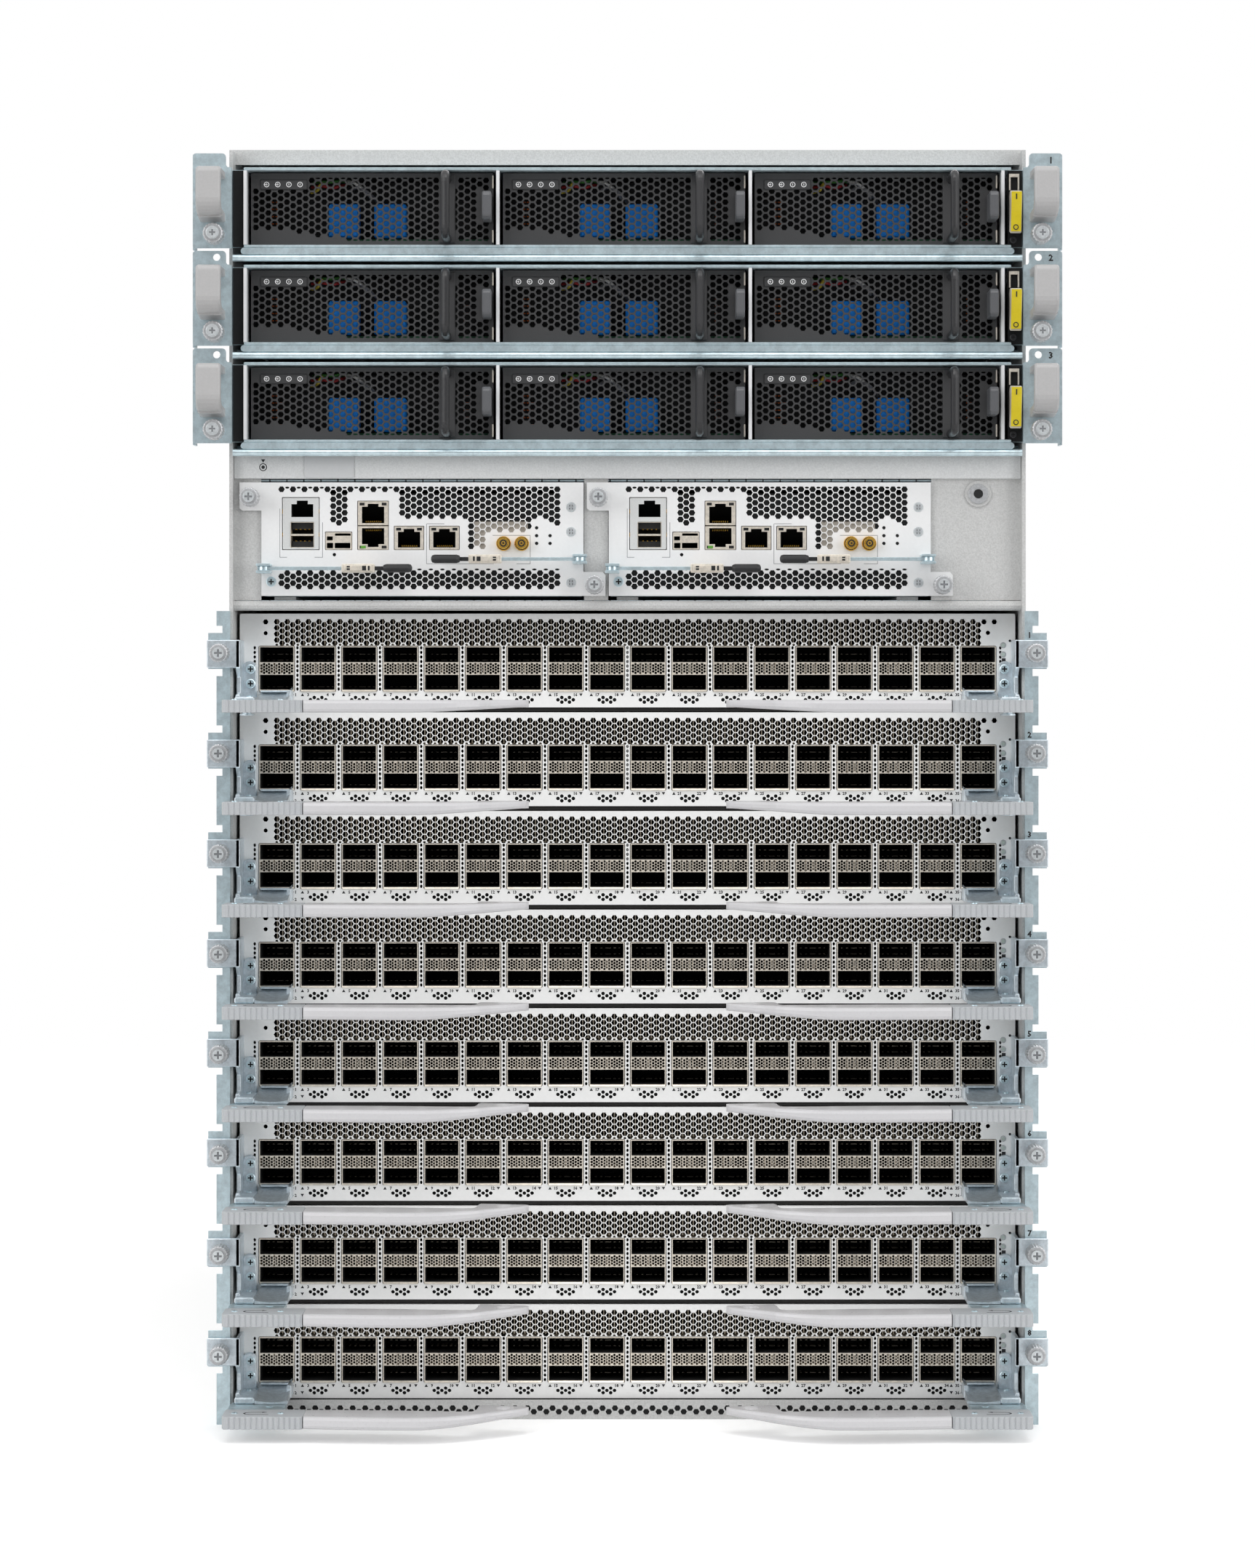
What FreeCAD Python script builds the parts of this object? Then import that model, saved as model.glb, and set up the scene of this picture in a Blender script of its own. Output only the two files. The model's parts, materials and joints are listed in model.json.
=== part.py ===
"""Modular chassis switch, sixteen rack units high. Millimetres, +Z up.

The origin is the middle of the base plate's underside. The front faces -Y, and the ear
flanges of the power trays set the front plane. Every moving piece is drawn closed.
"""

import FreeCAD, Part
import math
import os

os.makedirs("parts", exist_ok=True)
V = FreeCAD.Vector

# ---- overall ----
body_width = 443.2
body_depth = 820.0
ear_reach = 19.7  # tray ear beyond the side of the chassis
wall = 2.0
gap = 0.3  # running clearance round everything that slides
pin_clearance = 0.05

# ---- line cards ----
card_count = 8
card_height = 52.6
card_space = 2.83  # air between two stacked faceplates
gasket_high = 2.5
gasket_deep = 7.0
card_depth = 400.0
card_setback = 27.0  # faceplate behind the front plane
plate_thick = 4.0
plate_margin = 3.9  # faceplate edge to the outside of the chassis
sheet = 2.0

# ---- port cages ----
cage_pitch = 23.17
cage_wide = 20.3
cage_wall = 0.85
port_depth = 45.0
port_low_z = 9.35
port_low_high = 8.7
port_mid_high = 6.5
port_top_high = 8.4
port_rim = 1.15

# ---- vent recesses, which take the perforated sheets ----
vent_depth = 2.5
vent_side = 19.0
vent_top = 2.6
vent_high = 14.8

# ---- rails and ejector levers ----
rail_wide = 7.5
rail_tab_wide = 12.1
rail_thick = 2.0
rail_setback = 5.3
knob_r = 5.3
knob_long = 17.0
lever_pivot_in = 10.6  # pivot inside the chassis side
lever_pin_r = 2.6
lever_drop = 2.8  # underside of the lever below the faceplate
lever_thick = 6.9
core_thick = 2.4
lever_reach = 58.0
grip_long = 43.9
grip_deep = 24.0
lever_long = 157.0
lever_tip_back = 21.0

# ---- supervisors ----
sup_high = 63.5
sup_setback = 12.0
sup_depth = 400.0
left_filler_wide = 17.1
post_wide = 14.0
right_filler_wide = 52.1
sup_lever_long = 84.5
sup_pin_r = 1.6
# sockets on a supervisor: left and right from its left edge, low and high from its lower edge
sup_ports = [
    (10.5, 27.5, 25.2, 37.5), (39.0, 50.5, 25.2, 34.5), (54.2, 71.0, 25.2, 51.5),
    (75.5, 91.5, 25.2, 38.6), (94.5, 110.5, 25.2, 38.6),
]

# ---- power trays and supplies ----
tray_count = 3
tray_pitch = 54.1
psu_high = 40.6
tray_supplies = 3
psu_gap = 4.7
psu_setback = 9.0
psu_depth = 560.0
psu_left_margin = 11.7  # chassis side to the left supply
psu_right_margin = 15.5
ear_high = 53.8
ear_thick = 2.0
ear_notch_wide = 3.1  # step in the ear's inner upper corner, clear of the tray above
ear_notch_high = 7.2
ear_return = 10.0  # depth of the ear's folded outer edge
tray_sheet = 1.5
pocket_wall = 0.7
pocket_deep = 7.0  # dark pocket between the supplies and the ear
switch_high = 23.6
switch_pin_r = 1.2
bail_r = 2.45
bail_out = 31.0

# ---- rear ----
fan_tray_depth = 150.0
fan_columns = 4
fans_per_tray = 4
fan_rim = 4.5
fabric_count = 8

# ---- heights of the stack ----
bottom_lip = 10.9
lower_shelf_space = 9.6  # top card to supervisor, with the cross tube and shelf
bezel_high = 14.0
bezel_space = 1.9
tray_space = 7.5  # bezel top to the underside of the lowest power supply
hood_space = 14.4  # top power supply to the top of the cover

# ---- worked out from the sizes above ----
front = -body_depth / 2
back = body_depth / 2
side = body_width / 2
inner = side - wall
card_pitch = card_height + card_space
card_zone_top = bottom_lip + card_count * card_pitch - card_space
sup_z = card_zone_top + lower_shelf_space
sup_top = sup_z + sup_high
bezel_z = sup_top + bezel_space
bezel_top = bezel_z + bezel_high
psu_z0 = bezel_top + tray_space
body_height = psu_z0 + (tray_count - 1) * tray_pitch + psu_high + hood_space
shelf_top = sup_z - 3.6
upper_shelf_top = bezel_top - 2.3
plate_half = side - plate_margin
card_face = front + card_setback
card_back = card_face + card_depth
sup_face = front + sup_setback
tray_side = side - 8.6
ear_edge = side + ear_reach
pocket_in = side - psu_left_margin + 1.0
pocket_out = inner - 0.1
pivot_x = side - lever_pivot_in
cage_high = port_low_high + port_mid_high + port_top_high + 2 * port_rim
cage_half = plate_half - 9.0
cages = int((2 * cage_half + cage_pitch - cage_wide) / cage_pitch)


def block(x0, x1, y0, y1, z0, z1):
    return Part.makeBox(x1 - x0, y1 - y0, z1 - z0, V(x0, y0, z0))


def rod(x, y, z, radius, length, direction, sides=10):
    """A round bar drawn with flats: its corners lie on the radius."""
    axis = V(*direction)
    across = V(0, 0, 1) if abs(axis.z) < 0.5 else V(1, 0, 0)
    other = axis.cross(across)
    ring = []
    for n in range(sides):
        turn = 2 * math.pi * (n + 0.5) / sides
        ring.append(V(x, y, z) + across * (radius * math.cos(turn)) + other * (radius * math.sin(turn)))
    face = Part.Face(Part.makePolygon(ring + [ring[0]]))
    return face.extrude(axis * length)


def bore_radius(pin_r, sides=10):
    """Corner radius of a flat-sided bore that a flat-sided pin can turn in."""
    return (pin_r + pin_clearance) / math.cos(math.pi / sides)


def extrude_z(edges, z, height):
    """A solid whose plan outline is the closed loop of edges."""
    face = Part.Face(Part.Wire(edges))
    return face.extrude(V(0, 0, height)).translated(V(0, 0, z))


def plan_loop(points):
    """Edges through plan points; a pair of points is an arc through the first to the second."""
    edges = []
    here = points[0]
    for step in points[1:]:
        if isinstance(step[0], tuple):
            via, end = step
            edges.append(Part.Arc(V(*here, 0), V(*via, 0), V(*end, 0)).toShape())
            here = end
        else:
            edges.append(Part.makeLine(V(*here, 0), V(*step, 0)))
            here = step
    return edges


def mirrored(shape):
    return shape.mirror(V(0, 0, 0), V(1, 0, 0))


def both_sides(shape):
    return [shape, mirrored(shape)]


def fuse(first, *others):
    return first.multiFuse(list(others)).removeSplitter()


def save(name, *solids):
    Part.makeCompound(list(solids)).exportStep(f"parts/{name}.step")


def card_bottom(number):
    """Height of a line card's lower edge; card 1 is the top one."""
    return bottom_lip + (card_count - number) * card_pitch


def tray_bottom(number):
    """Height of the underside of a tray's power supplies; tray 1 is the top one."""
    return psu_z0 + (tray_count - number) * tray_pitch


# ---- enclosure ----
def side_wall():
    """A side panel with a folded flange at its top edge."""
    top = body_height - wall
    panel = block(inner, side, front + rail_setback + rail_thick, back, 0, top)
    flange = block(inner - 10, inner, front + 30, back, top - wall, top)
    return fuse(panel, flange)


def top_cover():
    """The top sheet, with the hood lip folded down at its front edge."""
    lip_face = front + 21.5
    sheet_part = block(-side, side, lip_face, back, body_height - wall, body_height)
    lip = block(-side, side, lip_face, lip_face + wall, body_height - 8.3, body_height - wall)
    cover = fuse(sheet_part, lip)
    for shape in both_sides(block(inner, side, lip_face, lip_face + wall, 0, body_height - wall)):
        cover = cover.cut(shape)
    return cover


def base_pan():
    """The bottom sheet, with a front lip recessed for its two rows of vent holes."""
    lip_face = front + 21.5
    floor = block(-inner, inner, lip_face, back, 0, wall)
    lip = block(-inner, inner, lip_face, lip_face + 3, wall, bottom_lip - gap)
    vent = block(-inner + 6, inner - 6, lip_face, lip_face + 1.5, wall, bottom_lip - 1.6)
    return fuse(floor, lip).cut(vent)


def front_rail():
    """A notched rail bent back along its outer edge, with a tab behind each card's knob."""
    y = front + rail_setback
    top = card_zone_top + 1
    outer = side + rail_wide - 0.6
    notch = side + 3.6
    edge = [V(side - 0.6, y, 0), V(outer, y, 0)]
    for number in range(card_count, 0, -1):
        low = card_bottom(number) + card_height - 31.2
        steps = [(outer, -4), (notch, -4), (notch, 0), (side + rail_tab_wide - 0.6, 0)]
        steps += [(side + rail_tab_wide - 0.6, 20), (notch, 20), (notch, 24), (outer, 24)]
        edge += [V(x, y, low + dz) for x, dz in steps]
    edge += [V(outer, y, top), V(side - 0.6, y, top), V(side - 0.6, y, 0)]
    rail = Part.Face(Part.makePolygon(edge)).extrude(V(0, rail_thick, 0))
    leg = block(notch - rail_thick, notch, y + rail_thick, y + 14, 0, top)
    web = block(side, notch - rail_thick, y + 11, y + 14, 0, top)
    return fuse(rail, leg, web)


def guide_channel(z, depth):
    """A channel on the side wall that takes the edge of one card's carrier."""
    start = front + card_setback + 12
    web = block(inner - 1.8, inner, start, start + depth, z - 1.5, z + sheet + 4)
    lower = block(inner - 6, inner - 1.8, start, start + depth, z - 1.5, z - gap)
    upper = block(inner - 6, inner - 1.8, start, start + depth, z + sheet + gap, z + sheet + 2.2)
    return fuse(web, lower, upper)


def tray_runner(z):
    """A ledge on the side wall that carries one power tray."""
    top = z - 1.8 - gap
    return block(tray_side - 5, inner, front + 30, back, top - 2, top)


def make_enclosure():
    wall_shape = side_wall()
    save("side_wall_right", wall_shape)
    save("side_wall_left", mirrored(wall_shape))
    save("top_cover", top_cover())
    save("base_pan", base_pan())
    rail = front_rail()
    save("front_rail_right", rail)
    save("front_rail_left", mirrored(rail))
    guides = []
    for number in range(1, card_count + 1):
        channel = guide_channel(card_bottom(number) + 1.5, card_depth - 20)
        guides += both_sides(channel)
    for number in range(1, tray_count + 1):
        guides += both_sides(tray_runner(tray_bottom(number)))
    save("wall_guides", *guides)


def make_shelves():
    """The sheet shelves over the line cards and the supervisors, and the cross tube."""
    deep = card_back + 4
    lower = block(-inner, inner, front + 20, deep, shelf_top - wall, shelf_top)
    for x in (-side + 30, 0, side - 65):
        rib = block(x - 6, x + 6, front + 20, deep, shelf_top, sup_z - gap)
        lower = lower.fuse(rib)
    upper = block(-inner, inner, front + 20, back, upper_shelf_top - wall, upper_shelf_top)
    tube = rod(-inner, front + 14, card_zone_top + 4.2, 2.85, 2 * inner, (1, 0, 0))
    hanger = block(-inner, -inner + 12, front + 14, front + 20, shelf_top - wall, shelf_top)
    save("mid_shelves", lower.removeSplitter(), upper, tube, *both_sides(hanger.cut(tube)))


def make_bezel():
    """The painted name bar over the supervisors, with a bare raised plate."""
    y = front + sup_setback
    bar = block(-inner, inner, y, y + 3, bezel_z, bezel_top)
    legs = both_sides(block(inner - 12, inner, y + 3, front + 20, bezel_z, upper_shelf_top))
    plate = block(-side + 42.5, -side + 69.5, y - 0.8, y, bezel_z + 3, bezel_top - 3)
    save("name_bezel", fuse(bar, plate, *legs))


def make_fillers():
    """The columns beside and between the supervisors, which their thumbscrews hold to."""
    y = sup_face + 2 + gap
    low = sup_z - 2.4
    left = block(-inner, -side + left_filler_wide, y, y + 2, low, bezel_z)
    left = fuse(left, block(-inner, -inner + 2, y + 2, card_back, low, sup_top))
    post_x = -side + left_filler_wide + 2 * gap + sup_width()
    post = block(post_x, post_x + post_wide - 2 * gap, y, y + 2, low, bezel_z)
    web_x = post_x + post_wide / 2 - gap
    post = fuse(post, block(web_x - 1, web_x + 1, y + 2, front + 20, low, sup_top),
                block(web_x - 1, web_x + 1, front + 20, card_back, shelf_top, sup_top))
    right_x = side - right_filler_wide
    right = block(right_x, inner, y, y + 2, low, bezel_z)
    right = fuse(right, block(inner - 2, inner, y + 2, card_back, low, sup_top),
                 rod(side - 25.9, y - 1, bezel_z - 8.4, 7.3, 1, (0, 1, 0), 16))
    right = right.cut(rod(side - 25.9, y - 1, bezel_z - 8.4, 3.2, 3, (0, 1, 0)))
    save("filler_panels", left, post, right)


def sup_width():
    free = body_width - left_filler_wide - post_wide - right_filler_wide
    return (free - 2 * gap) / 2


# ---- line cards ----
def knob(x, z, length, root):
    """A captive thumbscrew whose knurled barrel stands on the plate it holds."""
    return rod(x, root - length, z, knob_r, length, (0, 1, 0), 12)


def port_pockets(z):
    """The two sockets of every stacked cage, as one list of cutting blocks."""
    cuts = []
    first = -(cages - 1) * cage_pitch / 2
    half = cage_wide / 2 - cage_wall
    low_top = z + port_low_z + port_low_high
    top_z = low_top + port_mid_high
    for n in range(cages):
        x = first + n * cage_pitch
        y1 = card_face + port_depth
        cuts.append(block(x - half, x + half, card_face, y1, z + port_low_z, low_top))
        cuts.append(block(x - half, x + half, card_face, y1, top_z, top_z + port_top_high))
    return cuts


def line_card_panel(z):
    """Faceplate and the gang of cages behind it, with a recess for the vent sheet."""
    top = z + card_height
    plate = block(-plate_half, plate_half, card_face, card_face + plate_thick, z, top)
    cage_z = z + port_low_z - port_rim
    half = (cages - 1) * cage_pitch / 2 + cage_wide / 2
    gang = block(-half, half, card_face, card_face + port_depth + 4, cage_z, cage_z + cage_high)
    vent_z = top - vent_top - vent_high
    vent_half = plate_half - vent_side
    vent = block(-vent_half, vent_half, card_face, card_face + vent_depth, vent_z, top - vent_top)
    return fuse(plate, gang).cut(Part.makeCompound(port_pockets(z) + [vent]))


def lever_bracket(z):
    """Die-cast bracket: screwed pad, outer rib, knob plate, and the shelf over the lever."""
    shelf_y = front - 5
    shelf_z = z + 2.3
    rib_x = plate_half - 2.4
    knob_low = z + card_height - 30.6
    knob_top = z + card_height - 15.1
    plate_y = front + rail_setback - gap - 2
    pad = block(plate_half - 9.8, plate_half, card_face - 3, card_face, z + 4, z + 26)
    side_view = [
        (plate_y, shelf_z), (card_face, shelf_z), (card_face, knob_top), (plate_y, knob_top),
        (plate_y, z + 22), (front + 9, z + 17), (front + 9, z + 8), (plate_y, z + 7),
    ]
    outline = [V(rib_x, y, h) for y, h in side_view]
    rib = Part.Face(Part.makePolygon(outline + [outline[0]])).extrude(V(2.4, 0, 0))
    ear = block(rib_x, side + rail_tab_wide - 0.6, plate_y, plate_y + 2, knob_low, knob_top)
    boss = block(pivot_x - 4.5, plate_half, shelf_y, card_face, shelf_z, z + 5.8)
    ramp_x = side - 33.5
    ramp_view = [
        (shelf_y, shelf_z), (card_face, shelf_z), (card_face, z + 8.8), (front + 7, z + 4.6),
        (shelf_y, z + 4.2),
    ]
    ramp = [V(ramp_x, y, h) for y, h in ramp_view]
    scoop = Part.Face(Part.makePolygon(ramp + [ramp[0]])).extrude(V(pivot_x - 4.5 - ramp_x, 0, 0))
    pin_z = z - lever_drop - 0.9
    pin = rod(pivot_x, front, pin_z, lever_pin_r, shelf_z - pin_z, (0, 0, 1))
    head = rod(pivot_x, front, pin_z - 1, 4.2, 1.0, (0, 0, 1))
    return fuse(pad, rib, ear, boss, scoop, pin, head)


def gasket(z):
    """The conductive strip under a faceplate's lower edge, which closes the gap to the card below."""
    y = card_face + plate_thick / 2
    half = plate_half - plate_thick
    return block(-half, half, y, y + gasket_deep, z - gasket_high, z)


def line_card_inside(z):
    """Carrier, circuit board, heat sinks and the rear connectors."""
    y = card_face + plate_thick
    carrier = block(-inner + 2.1, inner - 2.1, y + 10, card_back - 12, z + 1.5, z + 1.5 + sheet)
    front_part = block(-plate_half + 6, plate_half - 6, y, y + 10, z + 1.5, z + 1.5 + sheet)
    carrier = fuse(carrier, front_part)
    board_z = z + port_low_z - port_rim - 1.6
    bars = block(-inner + 20, inner - 20, y, card_back - 20, z + 1.5 + sheet, board_z)
    board = block(-inner + 12, inner - 12, y, card_back - 12, board_z, board_z + 1.6)
    sinks = block(-inner + 30, inner - 30, y + 70, y + 230, board_z + 1.6, z + 44)
    sockets = block(-inner + 30, inner - 30, card_back - 24, card_back, board_z + 1.6, z + 40)
    return [carrier, bars, board, sinks, sockets]


def fabric_pitch():
    return (2 * inner - 40) / fabric_count


def make_line_cards():
    for number in range(1, card_count + 1):
        z = card_bottom(number)
        bracket = lever_bracket(z)
        screw = knob(side + 4.1, z + card_height - 22.6, knob_long, front + rail_setback - gap - 2)
        save(f"line_card_{number}", line_card_panel(z), gasket(z), *both_sides(bracket),
             *both_sides(screw), *line_card_inside(z))


# ---- ejector levers ----
def ejector_lever(z):
    """Steel core on its pivot under a moulded grip, and a bar that curves back at its tip."""
    base = z - lever_drop
    outer = pivot_x + 9.2
    face = front - lever_reach + 4
    grip_back = face + grip_deep
    grip_x = outer - grip_long
    tip_x = pivot_x - lever_long
    tip_y = front - lever_tip_back
    bar = [
        (outer, face + 2), (outer - 2, face), (grip_x, face), (tip_x + 78, face - 4),
        ((tip_x + 37, face + 3), (tip_x + 3, tip_y - 4)), (tip_x, tip_y), (tip_x + 3, tip_y + 4),
        (tip_x + 25, tip_y + 7), (tip_x + 28, tip_y + 3), (tip_x + 32, grip_back - 6),
        (tip_x + 46, grip_back - 2), (grip_x, grip_back), (outer, grip_back), (outer, face + 2),
    ]
    handle = extrude_z(plan_loop(bar), base, lever_thick)
    arm = [
        (pivot_x - 22, grip_back), (pivot_x - 22, front + 2), (pivot_x - 15, front + 8),
        (pivot_x, front + 8.5), ((pivot_x + 6, front + 6), (pivot_x + 8.5, front)),
        (outer, front - 6), (outer, grip_back), (pivot_x - 22, grip_back),
    ]
    core_z = z + 2.3 - gap - core_thick
    core = extrude_z(plan_loop(arm), core_z, core_thick)
    bore = rod(pivot_x, front, core_z - 1, bore_radius(lever_pin_r), core_thick + 2, (0, 0, 1))
    return [handle, core.cut(bore)]


def make_levers():
    for number in range(1, card_count + 1):
        right = ejector_lever(card_bottom(number))
        save(f"card_lever_right_{number}", *right)
        save(f"card_lever_left_{number}", *[mirrored(s) for s in right])


# ---- supervisors ----
def supervisor(x0):
    """A supervisor from its left edge x0: faceplate, carrier and lever mounts."""
    x1 = x0 + sup_width()
    y = sup_face
    face = block(x0, x1, y, y + 2, sup_z, sup_z + sup_high)
    tab_left = block(x0 - 12.4, x0, y, y + 2, sup_z + sup_high - 16, sup_z + sup_high)
    tab_right = block(x1, x1 + 12.4, y, y + 2, sup_z, sup_z + 13.6)
    backing = block(x0 + 1, x1 - 1, y + 2, y + 8, sup_z + 2, sup_z + sup_high - 2)
    cuts = []
    for left, right, low, high in sup_ports:
        cuts.append(block(x0 + left, x0 + right, y, y + 7, sup_z + low, sup_z + high))
    plate = fuse(face, tab_left, tab_right, backing).cut(Part.makeCompound(cuts))
    carrier = block(x0 + 1, x1 - 1, y + 8, y + sup_depth, sup_z, sup_z + sheet)
    board = block(x0 + 4, x1 - 4, y + 8, y + sup_depth - 10, sup_z + sheet, sup_z + sheet + 3)
    sink = block(x0 + 30, x1 - 30, y + 120, y + 220, sup_z + sheet + 3, sup_z + 50)
    solids = [plate, carrier, board, sink]
    knob_left = knob(x0 - 5.9, sup_z + sup_high - 9, 16, y)
    knob_right = knob(x1 + 6.1, sup_z + 5.9, 16, y)
    solids += [knob_left, knob_right]
    for pin_x, z in sup_lever_places(x0):
        lug_low = block(pin_x - 4, pin_x + 4, y - 12, y, z - 3.2, z - 1 - gap)
        lug_high = block(pin_x - 4, pin_x + 4, y - 12, y, z + 1 + gap, z + 3.2)
        pin = Part.makeCylinder(sup_pin_r, 4, V(pin_x, y - 7, z - 2))
        solids.append(fuse(lug_low, lug_high, pin))
    return solids


def sup_lever_places(x0):
    """Pivot place and height of a supervisor's left and right levers."""
    x1 = x0 + sup_width()
    return (x0 + 2, sup_z + 15.1), (x1 - 2, sup_z + 20.3)


def sup_lever(x, z, way):
    """A flat steel lever that lies across the faceplate and ends in a moulded grip."""
    y = sup_face - 7
    strip = block(-3.5, sup_lever_long - 22, -3.5, 3.5, -1, 1)
    latch = block(sup_lever_long - 30, sup_lever_long - 22, -5, 3.5, -4, 4)
    grip_view = [
        (sup_lever_long - 22, -3.5), (sup_lever_long - 19, -5), (sup_lever_long - 3, -5),
        (sup_lever_long, -2.5), (sup_lever_long, 2.5), (sup_lever_long - 3, 5),
        (sup_lever_long - 19, 5), (sup_lever_long - 22, 3.5),
    ]
    grip_edge = [V(x, -7.5, h) for x, h in grip_view]
    grip = Part.Face(Part.makePolygon(grip_edge + [grip_edge[0]])).extrude(V(0, 9.5, 0))
    lever = fuse(strip, latch, grip)
    lever = lever.cut(Part.makeCylinder(sup_pin_r + pin_clearance, 4, V(0, 0, -2)))
    if way < 0:
        lever = mirrored(lever)
    return lever.translated(V(x, y, z))


def make_supervisors():
    for number in (1, 2):
        x0 = -side + left_filler_wide + gap + (number - 1) * (sup_width() + post_wide)
        save(f"supervisor_{number}", *supervisor(x0))
        left, right = sup_lever_places(x0)
        save(f"supervisor_{number}_lever_left", sup_lever(*left, 1))
        save(f"supervisor_{number}_lever_right", sup_lever(*right, -1))


# ---- power trays ----
def tray_ear(z):
    """The right ear of a tray: a notched plate and its folded outer edge."""
    low = z - 3.7
    high = low + ear_high
    notch_x = pocket_out + ear_notch_wide
    notch_z = high - ear_notch_high
    outline = [
        (pocket_out, low), (ear_edge, low), (ear_edge, high), (notch_x, high),
        (notch_x, notch_z), (pocket_out, notch_z), (pocket_out, low),
    ]
    plate = Part.Face(Part.makePolygon([V(x, front, h) for x, h in outline])).extrude(V(0, ear_thick, 0))
    y = front + ear_thick
    return [plate, block(ear_edge - ear_thick, ear_edge, y, y + ear_return, low, high)]


def ear_pocket(z):
    """The open pocket inside the right ear; it joins the ear to the tray."""
    y = front + pocket_deep
    low = z - gap
    high = z + psu_high + gap
    box = block(pocket_in, pocket_out, front, y, low, high)
    x0, x1 = switch_span()
    return box.cut(block(x0, x1, front, y - pocket_wall, low + pocket_wall, high - pocket_wall))


def ear_handle(z):
    """A strap handle that stands off the ear, with tapered feet."""
    x0 = side + 1.4
    x1 = x0 + 14
    low = z + 14.8
    high = z + 40.1
    outer = [
        V(x0, front, low - 3), V(x0, front - 20, low), V(x0, front - 26, low + 6), V(x0, front - 26, high),
        V(x0, front, high), V(x0, front, high - 5), V(x0, front - 21, high - 5),
        V(x0, front - 21, low + 8), V(x0, front - 16, low + 5), V(x0, front, low + 2), V(x0, front, low - 3),
    ]
    return Part.Face(Part.makePolygon(outer)).extrude(V(x1 - x0, 0, 0))


def power_tray(z):
    """Sheets and dividers of a tray, with its tube, ears, pockets, handles, knobs and inlets."""
    y0 = front + ear_thick
    low = z - gap
    high = z + psu_high + gap
    solids = [
        block(-tray_side, tray_side, y0, back, low - tray_sheet, low),
        block(-tray_side, tray_side, y0, back, high, high + tray_sheet),
        block(-tray_side, tray_side, back - wall, back, low, high),
        block(-tray_side - 2, tray_side + 2, y0, y0 + 6, z - 5.6, low - tray_sheet),
        rod(-inner + gap, y0 + 2, z - 7.55, 1.95, 2 * (inner - gap), (1, 0, 0)),
    ]
    step = psu_width() + psu_gap
    for n in range(tray_supplies + 1):
        x = -psu_left() + n * step - psu_gap / 2
        start = front + pocket_deep if n in (0, tray_supplies) else y0
        solids.append(block(x - 0.9, x + 0.9, start, back - wall, low, high))
    pieces = [*tray_ear(z), ear_pocket(z), ear_handle(z), knob(side + 7, z + 4.4, 17, front)]
    for piece in pieces:
        solids += both_sides(piece)
    solids.append(switch_axle(z, switch_pin_r))
    for n in range(tray_supplies):
        middle = -psu_left() + psu_width() / 2 + n * step
        for shift in (-psu_width() / 4, psu_width() / 4):
            solids.append(power_inlet(middle + shift, z + psu_high / 2))
    return solids


def power_inlet(x, z):
    """A mains inlet on the rear wall: the shroud of its socket."""
    shroud = block(x - 16, x + 16, back, back + 14, z - 11.5, z + 11.5)
    shroud = shroud.cut(block(x - 13.5, x + 13.5, back + 2, back + 14, z - 9, z + 9))
    return shroud


def psu_left():
    """Distance of the left supply's outer side from the middle of the tray."""
    return side - psu_left_margin


def psu_width():
    free = body_width - psu_left_margin - psu_right_margin - (tray_supplies - 1) * psu_gap
    return free / tray_supplies


def switch_span():
    """Left and right sides of the power switch's space in the right pocket."""
    return pocket_in + pocket_wall, pocket_out - pocket_wall


def switch_middle(z):
    return z + 17.75


def switch_axle(z, radius):
    """A round bar on the rocker's axis, from one wall of its pocket to the other."""
    x0, x1 = switch_span()
    return Part.makeCylinder(radius, x1 - x0, V(x0, front + 1, switch_middle(z)), V(1, 0, 0))


def power_switch(z):
    """A tall rocker whose paddle stands out of the ear."""
    x0, x1 = switch_span()
    middle = switch_middle(z)
    half = switch_high / 2
    profile = [
        (3.5, 0.8 - half), (-1.5, -half), (-3.5, 0), (-6.5, half - 0.8), (-0.5, half), (3.5, half - 2.8),
        (3.5, 0.8 - half),
    ]
    corners = [V(x0 + gap, front + y, middle + h) for y, h in profile]
    rocker = Part.Face(Part.makePolygon(corners)).extrude(V(x1 - x0 - 2 * gap, 0, 0))
    return rocker.cut(switch_axle(z, switch_pin_r + pin_clearance))


def power_supply(x0, z):
    """A supply module: case with a recessed vent front, bail handle, latch tab and blue blocks."""
    x1 = x0 + psu_width()
    y = front + psu_setback
    low = z
    top = z + psu_high
    case = block(x0, x1, y, y + psu_depth, low, top)
    recess = block(x0 + 2, x1 - 2, y, y + 9, low + 2, top - 2)
    lamp_plate = block(x0 + 2, x0 + 33, y, y + 9, low + 31.3, top - 2)
    corner = block(x0 + 2, x0 + 21.6, y, y + 9, low + 2, low + 9)
    case = case.cut(recess.cut(lamp_plate.fuse(corner)))
    blocks = []
    for left in (43.0, 68.8):
        blocks.append(block(x0 + left, x0 + left + 17.5, y + 5, y + 9, low + 5, low + 23.4))
    bail_x = x1 - 26
    z0 = low + bail_r + 0.8
    z1 = top - 4
    reach = y - bail_out
    bend = 5.0
    path = [
        (y, z0), (reach + bend, z0), (reach, z0 + bend), (reach, z1 - bend), (reach + bend, z1), (y, z1),
    ]
    spine = Part.makePolygon([V(bail_x, a, h) for a, h in path])
    start = V(bail_x, y, z0)
    ring = []
    for n in range(8):
        turn = math.pi * (n + 0.5) / 4
        ring.append(start + V(bail_r * math.cos(turn), 0, bail_r * math.sin(turn)))
    bail = spine.makePipeShell([Part.makePolygon(ring + [ring[0]])], True, False, 1)
    tab = block(x1 - 6.2, x1 - 0.4, y - 20, y, low + 12.8, low + 28.4)
    strip = block(bail_x - 4.5, bail_x + 4.5, y, y + 9, low + 2, top - 2)
    return [fuse(case, strip), *blocks, bail, tab]


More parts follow.
